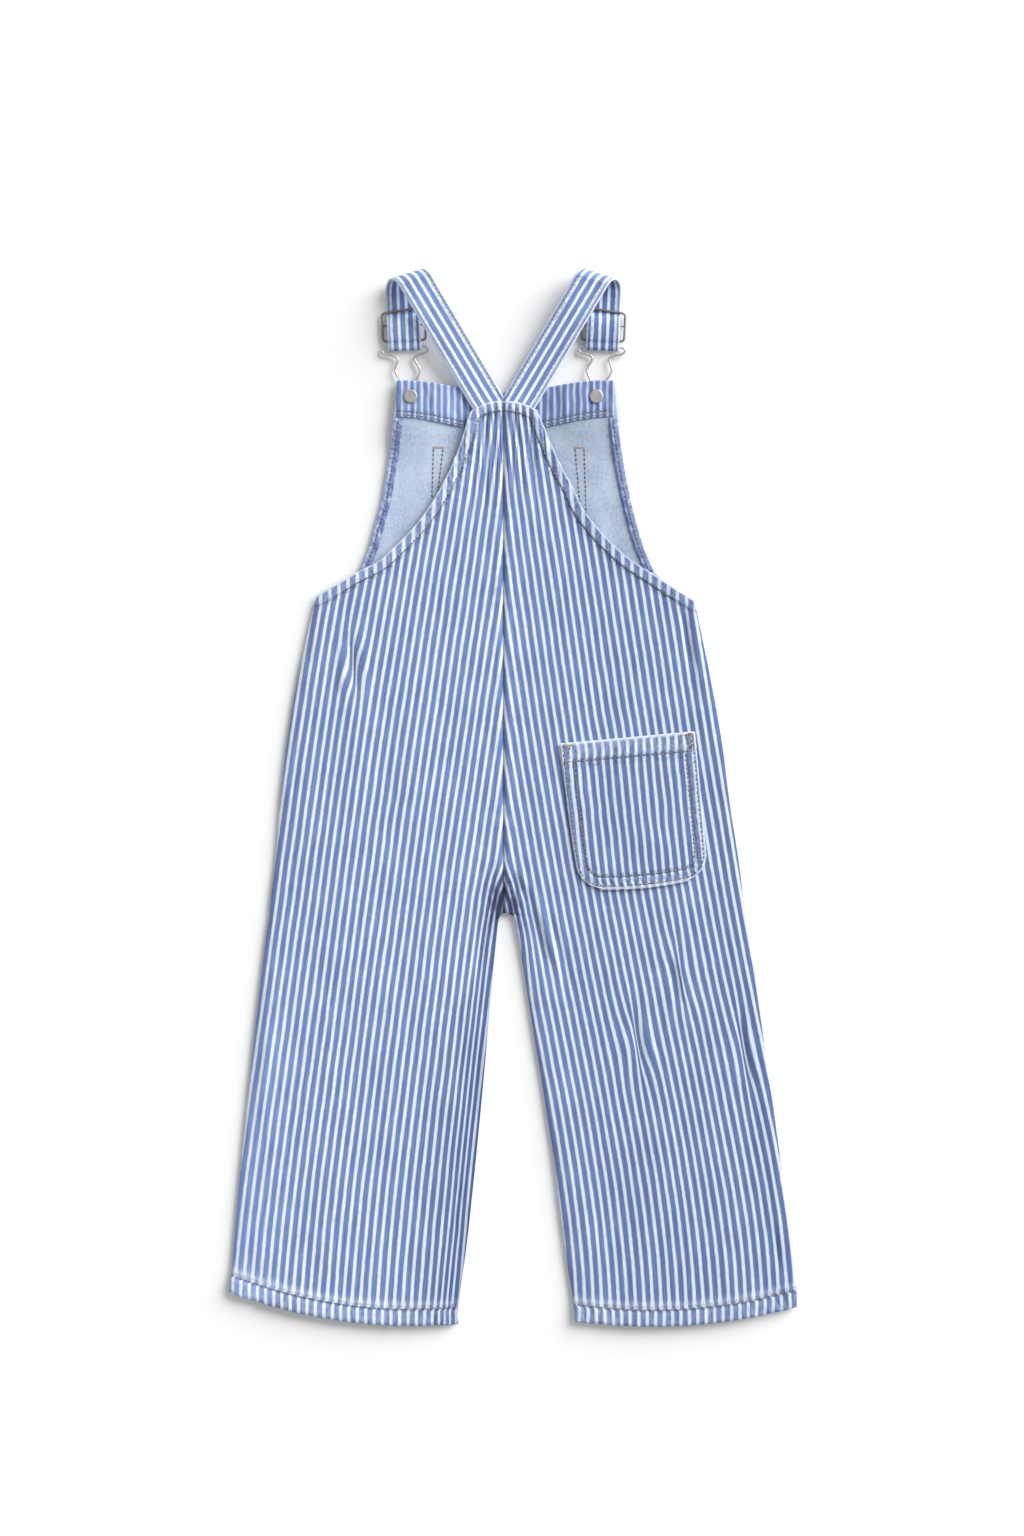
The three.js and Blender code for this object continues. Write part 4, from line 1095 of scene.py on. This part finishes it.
# The hem's row, the two rows round the pocket, and the small triangles and bars at its upper corners
corners = [[(s * 51.8, 1.2), (s * 46.0, 1.2), (s * 50.4, 14.6), (s * 51.8, 1.2)] for s in (-1, 1)]
hemRow = [(a, pocket["hem"]) for a in np.linspace(-52.6, 52.6, 50)]
rows = [onPocketCloth(line) for line in (pocketLine(1.8, 1.0), pocketLine(8.8, 16.4), hemRow, *corners)]
pocketStitches = stitchRows("pocketStitches", "striped_denim", rows, thread)
bars = [onPocketCloth([(s * a, 0.9), (s * a, 3.1)]) for s in (-1, 1) for a in np.arange(45.2, 53.4, 0.55)]
bars += [onPocketCloth([(51.6, d), (53.4, d)]) for d in np.arange(2.5, 14.0, 0.6)]
pocketTacks = stitchRows("pocketTacks", "striped_denim", bars, tan, length=2.1, gap=0.1, radius=0.34)
print("pocket made")


# Straps, folded over at the shoulder and threaded through slide and hook

strap = {"width": 26.0, "thick": 1.6, "lean": 31.0, "drop": 2.5, "radius": 8.0, "z": 1.5, "drift": 5.5,
         "passes": (37.6, 782.4), "outline": 829.5, "stitchIn": 2.4, "pitch": 6.2}
wire = {"radius": 0.9, "z": 2.8}
buckle = {"half": 17.2, "top": 18.0, "middle": 30.0, "low": 42.5, "hook": 47.5, "slant": -1.6, "swing": 4.4,
          "corner": 3.0, "inHook": 40.2}
button = {"disc": 5.5, "lift": 4.6, "cloth": 1.5, "facing": 1.0, "gap": 0.3}

upWay = np.array([math.sin(math.radians(strap["lean"])), math.cos(math.radians(strap["lean"]))])
downWay = np.array([-math.sin(math.radians(strap["drop"])), -math.cos(math.radians(strap["drop"]))])
creaseWay = (upWay + downWay) / np.linalg.norm(upWay + downWay)
outWay = np.array([-creaseWay[1], creaseWay[0]])
acrossUp = np.array([upWay[1], -upWay[0]])
acrossDown = np.array([-downWay[1], downWay[0]])
passes = np.array(strap["passes"])
foldAxis = strap["outline"] - strap["radius"] - strap["thick"] / 2
toFold = (foldAxis - passes @ outWay) / (upWay @ outWay)
roundFold = math.pi * strap["radius"] / (upWay @ outWay)
foldEnd = passes + upWay * toFold + creaseWay * (roundFold * (upWay @ creaseWay) + strap["drift"])
wrap = wire["radius"] + 0.3 + strap["thick"] / 2
lowLayer = wire["z"] - wrap


def turnAround(down, start, end):
    return [(down + wrap * math.cos(math.radians(a)), wire["z"] + wrap * math.sin(math.radians(a)))
            for a in np.linspace(start, end, 13)[1:]]


# The strap's middle line below the fold, as distance down and height
threaded = [
    *curveThrough([
        (0, strap["z"]), (5, 1.3), (10, 1.0), (15, lowLayer), (19.4, lowLayer + 0.1),
        (22.4, 2.4), (25.6, 5.4),
        (28.6, 6.7), (32, 6.9), (36, 6.8), (40, 6.3), (44, 5.3), (buckle["hook"], wire["z"] + wrap),
    ], 5),
    *turnAround(buckle["hook"], 90, -90),
    *curveThrough([(buckle["hook"], lowLayer), (42, lowLayer), (36, lowLayer),
                   (buckle["middle"], lowLayer)], 4)[1:],
    *turnAround(buckle["middle"], -90, -270),
    (33, 4.75), (35, 4.7), (37.5, 4.6),
]
strapAcross = np.linspace(-0.5, 0.5, 26) * strap["width"]


def strapSurface(side, face):
    offset = face * strap["thick"] / 2
    rows, travelled = [], []

    def startOf(w):
        edge = passes + acrossUp * w
        return max((0.25 - edge[0]) / upWay[0], (729.0 - edge[1]) / upWay[1])

    def creaseAt(w):
        return (foldAxis - (passes + acrossUp * w) @ outWay) / (upWay @ outWay)

    def place(w, distance):
        flat = passes + acrossUp * w + upWay * distance
        past = flat @ outWay - foldAxis
        if past <= 0:
            rise = float(ease((distance + 52) / (toFold + 52 + 14)))
            return (*flat, lerp(5.8, strap["z"] + 2 * strap["radius"], rise) + offset)
        angle = past / strap["radius"]
        flat = flat + outWay * ((strap["radius"] + offset) * math.sin(angle) - past)
        flat = flat + creaseWay * strap["drift"] * float(ease(angle / math.pi))
        return (*flat, strap["z"] + strap["radius"] + (strap["radius"] + offset) * math.cos(angle))

    for share in np.linspace(0, 1, 60)[:-1]:
        travelled.append([lerp(startOf(w), creaseAt(w), share) for w in strapAcross])
    for share in np.linspace(0, 0.9999, 30):
        travelled.append([creaseAt(w) + share * roundFold for w in strapAcross])
    rows = [[place(w, d) for w, d in zip(strapAcross, row)] for row in travelled]
    line = np.array(threaded)
    lengths = np.concatenate([[0], np.cumsum(np.linalg.norm(np.diff(line, axis=0), axis=1))])
    for k in range(1, len(line)):
        tangent = line[min(k + 1, len(line) - 1)] - line[k - 1]
        tangent = tangent / np.linalg.norm(tangent)
        skew = (creaseWay @ downWay) / (creaseWay @ acrossDown) * max(0.0, 1 - line[k, 0] / 18)
        row = []
        for w in strapAcross:
            at = foldEnd + downWay * (line[k, 0] + tangent[1] * offset + w * skew) + acrossDown * w
            row.append((at[0], at[1], line[k, 1] - tangent[0] * offset))
        rows.append(row)
        travelled.append([toFold + roundFold + lengths[k]] * len(strapAcross))
    points = np.array(rows)
    points[..., 0] *= side
    return points, np.array(travelled)


def onStrap(side, across, down, z):
    at = foldEnd + downWay * down + acrossDown * across
    return (side * at[0], at[1], z)


def swung(down):
    return (down - buckle["hook"]) * math.sin(math.radians(buckle["swing"]))


# Half of the hook's outline: across, and down from its bar
hookHalf = [
    (0, 0), (7, 0), (14.6, 0), (17.6, 0.8), (18.4, 2.8), (16.6, 4.9), (11, 6.4),
    (6.9, 8.8), (7.6, 12.6), (9.8, 17.6),
    (8.9, 22.4), (6.2, 27.4), (4.7, 32.5), (4.2, 38.5), (2.9, 42.6),
]


def hookWire(name, side):
    bar = buckle["hook"]
    whole = [*hookHalf, (0, 43.8), *[(-x, d) for x, d in hookHalf[:0:-1]]]
    line = curveThrough([onStrap(side, x - swung(bar + d), bar + d,
                                 lerp(wire["z"], 3.35, float(ease((d - 6) / 24))))
                         for x, d in whole], 6, closed=True)
    hook = tube("hookWire_" + name, line, wire["radius"], wireMetal, closed=True)
    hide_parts("hook_" + name)


def slideWire(name, side):
    h, c, s = buckle["half"], buckle["corner"], buckle["slant"]
    ring = []
    for x, d, start in ((h, buckle["top"] - s, 0), (h, buckle["low"], 90), (-h, buckle["low"], 180),
                        (-h, buckle["top"] + s, 270)):
        cx, cd = x - math.copysign(c, x), d + (-c if d > buckle["middle"] else c)
        for a in np.radians(np.linspace(start - 90, start, 7)):
            ring.append(onStrap(side, cx + c * math.cos(a), cd + c * math.sin(a), wire["z"]))
    frameWire = tube("slideFrame_" + name, ring, wire["radius"], slideMetal, closed=True)
    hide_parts("slide_" + name)
    bar = tube("slideBar_" + name, [onStrap(side, x, buckle["middle"], wire["z"])
                                     for x in np.linspace(-h, h, 9)],
               wire["radius"] * 0.96, slideMetal)


# A button in one piece with its tack: the head under the bib, the disc on its inside
def buttonStud(name, side):
    inHook = buckle["hook"] + buckle["inHook"]
    centre = onStrap(side, -swung(inHook), inHook, 0)
    under = button["lift"] - button["gap"]
    over = button["lift"] + button["cloth"] + button["facing"] + 2 * button["gap"]
    disc = button["disc"]
    profile = [
        (6.2, 0.02), (7.1, 0.35), (7.5, 1.0), (7.3, 1.6), (6.1, 2.1), (2.4, 2.1), (2.4, under), (1.4, under),
        (1.4, over), (disc - 0.3, over), (disc, over + 0.3),
        (disc - 0.15, over + 0.75), (disc - 0.7, over + 1.0),
        (disc - 1.3, over + 0.96), (2.0, over + 1.02),
    ]
    count = 48
    angles = np.linspace(0, 2 * np.pi, count, endpoint=False)
    points = [(centre[0] + r * math.cos(a), centre[1] + r * math.sin(a), z)
              for r, z in profile for a in angles]
    faces = [(i * count + k, i * count + (k + 1) % count, (i + 1) * count + (k + 1) % count,
             (i + 1) * count + k)
             for i in range(len(profile) - 1) for k in range(count)]
    faces += [tuple(range(count)), tuple(range((len(profile) - 1) * count, len(profile) * count))]
    stud = addMesh("buttonStud_" + name, points, faces, [tackMetal])
    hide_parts("button_" + name)


for name, side in (("left", -1), ("right", 1)):
    upper, travelled = strapSurface(side, 1)
    lower, _ = strapSurface(side, -1)
    edge = strap["width"] / 2 - np.abs(strapAcross)
    k = int(np.argmin(np.abs(np.array(threaded)[:60, 0] - 43.4))) + 88
    fold = toFold + roundFold
    across = noiseAt(travelled, 0 * travelled + strapAcross, 2.4, 17.0)
    # Painted shade: the right strap darker past its fold, both straps darker just under the fold's loop and along
    # the stitch row across them
    strapPaintedShade = (1 if side < 0 else 1 - 0.3 * ease((travelled - fold + 14) / 12)) * (
        1 - 0.4 * groove(travelled - travelled[k], 1.3) * (1 + across)) * (1 - 0.3 *
                   groove(travelled - fold - 2, 9))
    strapMaps = mapsOf(strapAcross / strap["pitch"] + 0.42, travelled, edge, travelled, paintedShading=strapPaintedShade)
    band = closedWall("strapBand_" + name, upper, lower, strapMaps, [strapDenim])
    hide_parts("strap_" + name)
    lines = []
    for share in (strap["stitchIn"] / strap["width"], 1 - strap["stitchIn"] / strap["width"]):
        j = share * (len(strapAcross) - 1)
        lines.append(lerp(upper[:, int(j)], upper[:, int(j) + 1], j - int(j))[6:130])
    lines.append(upper[k, 2:-2])
    rows = stitchRows("strapStitches_" + name, "striped_denim", lines, paleThread, radius=0.3)
    hookWire(name, side)
    slideWire(name, side)
    buttonStud(name, side)
print("straps made")


# Floor, light and camera

floorMaterial, shader, w = newMaterial("paleFloor", 0.95, 0.1)
speck = w.noise(floorMaterial.node_tree.nodes.new("ShaderNodeTexCoord").outputs["Object"], 40.0)
w.send(shader, **{"Base Color": w.scaled((1.0, 1.0, 1.0, 1.0), w.step(speck, 0.3, 0.7, (0.912, 0.916)))})
bpy.ops.mesh.primitive_plane_add(size=12, location=(0, 0, -0.0004))
floor = bpy.context.object
floor.name = "floor"
floor.data.materials.append(floorMaterial)


def softSun(name, toward, spread, power):
    lamp = bpy.data.lights.new(name, "SUN")
    lamp.angle = math.radians(spread)
    lamp.energy = power
    made = bpy.data.objects.new(name, lamp)
    bpy.context.scene.collection.objects.link(made)
    made.rotation_euler = (-Vector(toward)).to_track_quat("-Z", "Y").to_euler()


keySun = {"toward": (2.0, 1.55, 1.15), "spread": 46.0, "power": 4.9}
softSun("keyLight", keySun["toward"], keySun["spread"], keySun["power"])
world = bpy.data.worlds.new("paleRoom")
bpy.context.scene.world = world
world.use_nodes = True
world.node_tree.nodes["Background"].inputs["Color"].default_value = (1, 1, 1, 1)
world.node_tree.nodes["Background"].inputs["Strength"].default_value = 0.48

view = {"height": 1228.8, "x": -0.8, "y": 23.0, "distance": 2.6, "sensor": 36.0}
camera = bpy.data.cameras.new("camera")
camera.sensor_fit = "VERTICAL"
camera.sensor_height = view["sensor"]
camera.lens = view["sensor"] * view["distance"] / (view["height"] / 1000)
cameraObject = bpy.data.objects.new("camera", camera)
bpy.context.scene.collection.objects.link(cameraObject)
cameraObject.location = (view["x"] / 1000, view["y"] / 1000, view["distance"] + 0.006)
bpy.context.scene.camera = cameraObject
bpy.context.scene.view_settings.view_transform = "Standard"
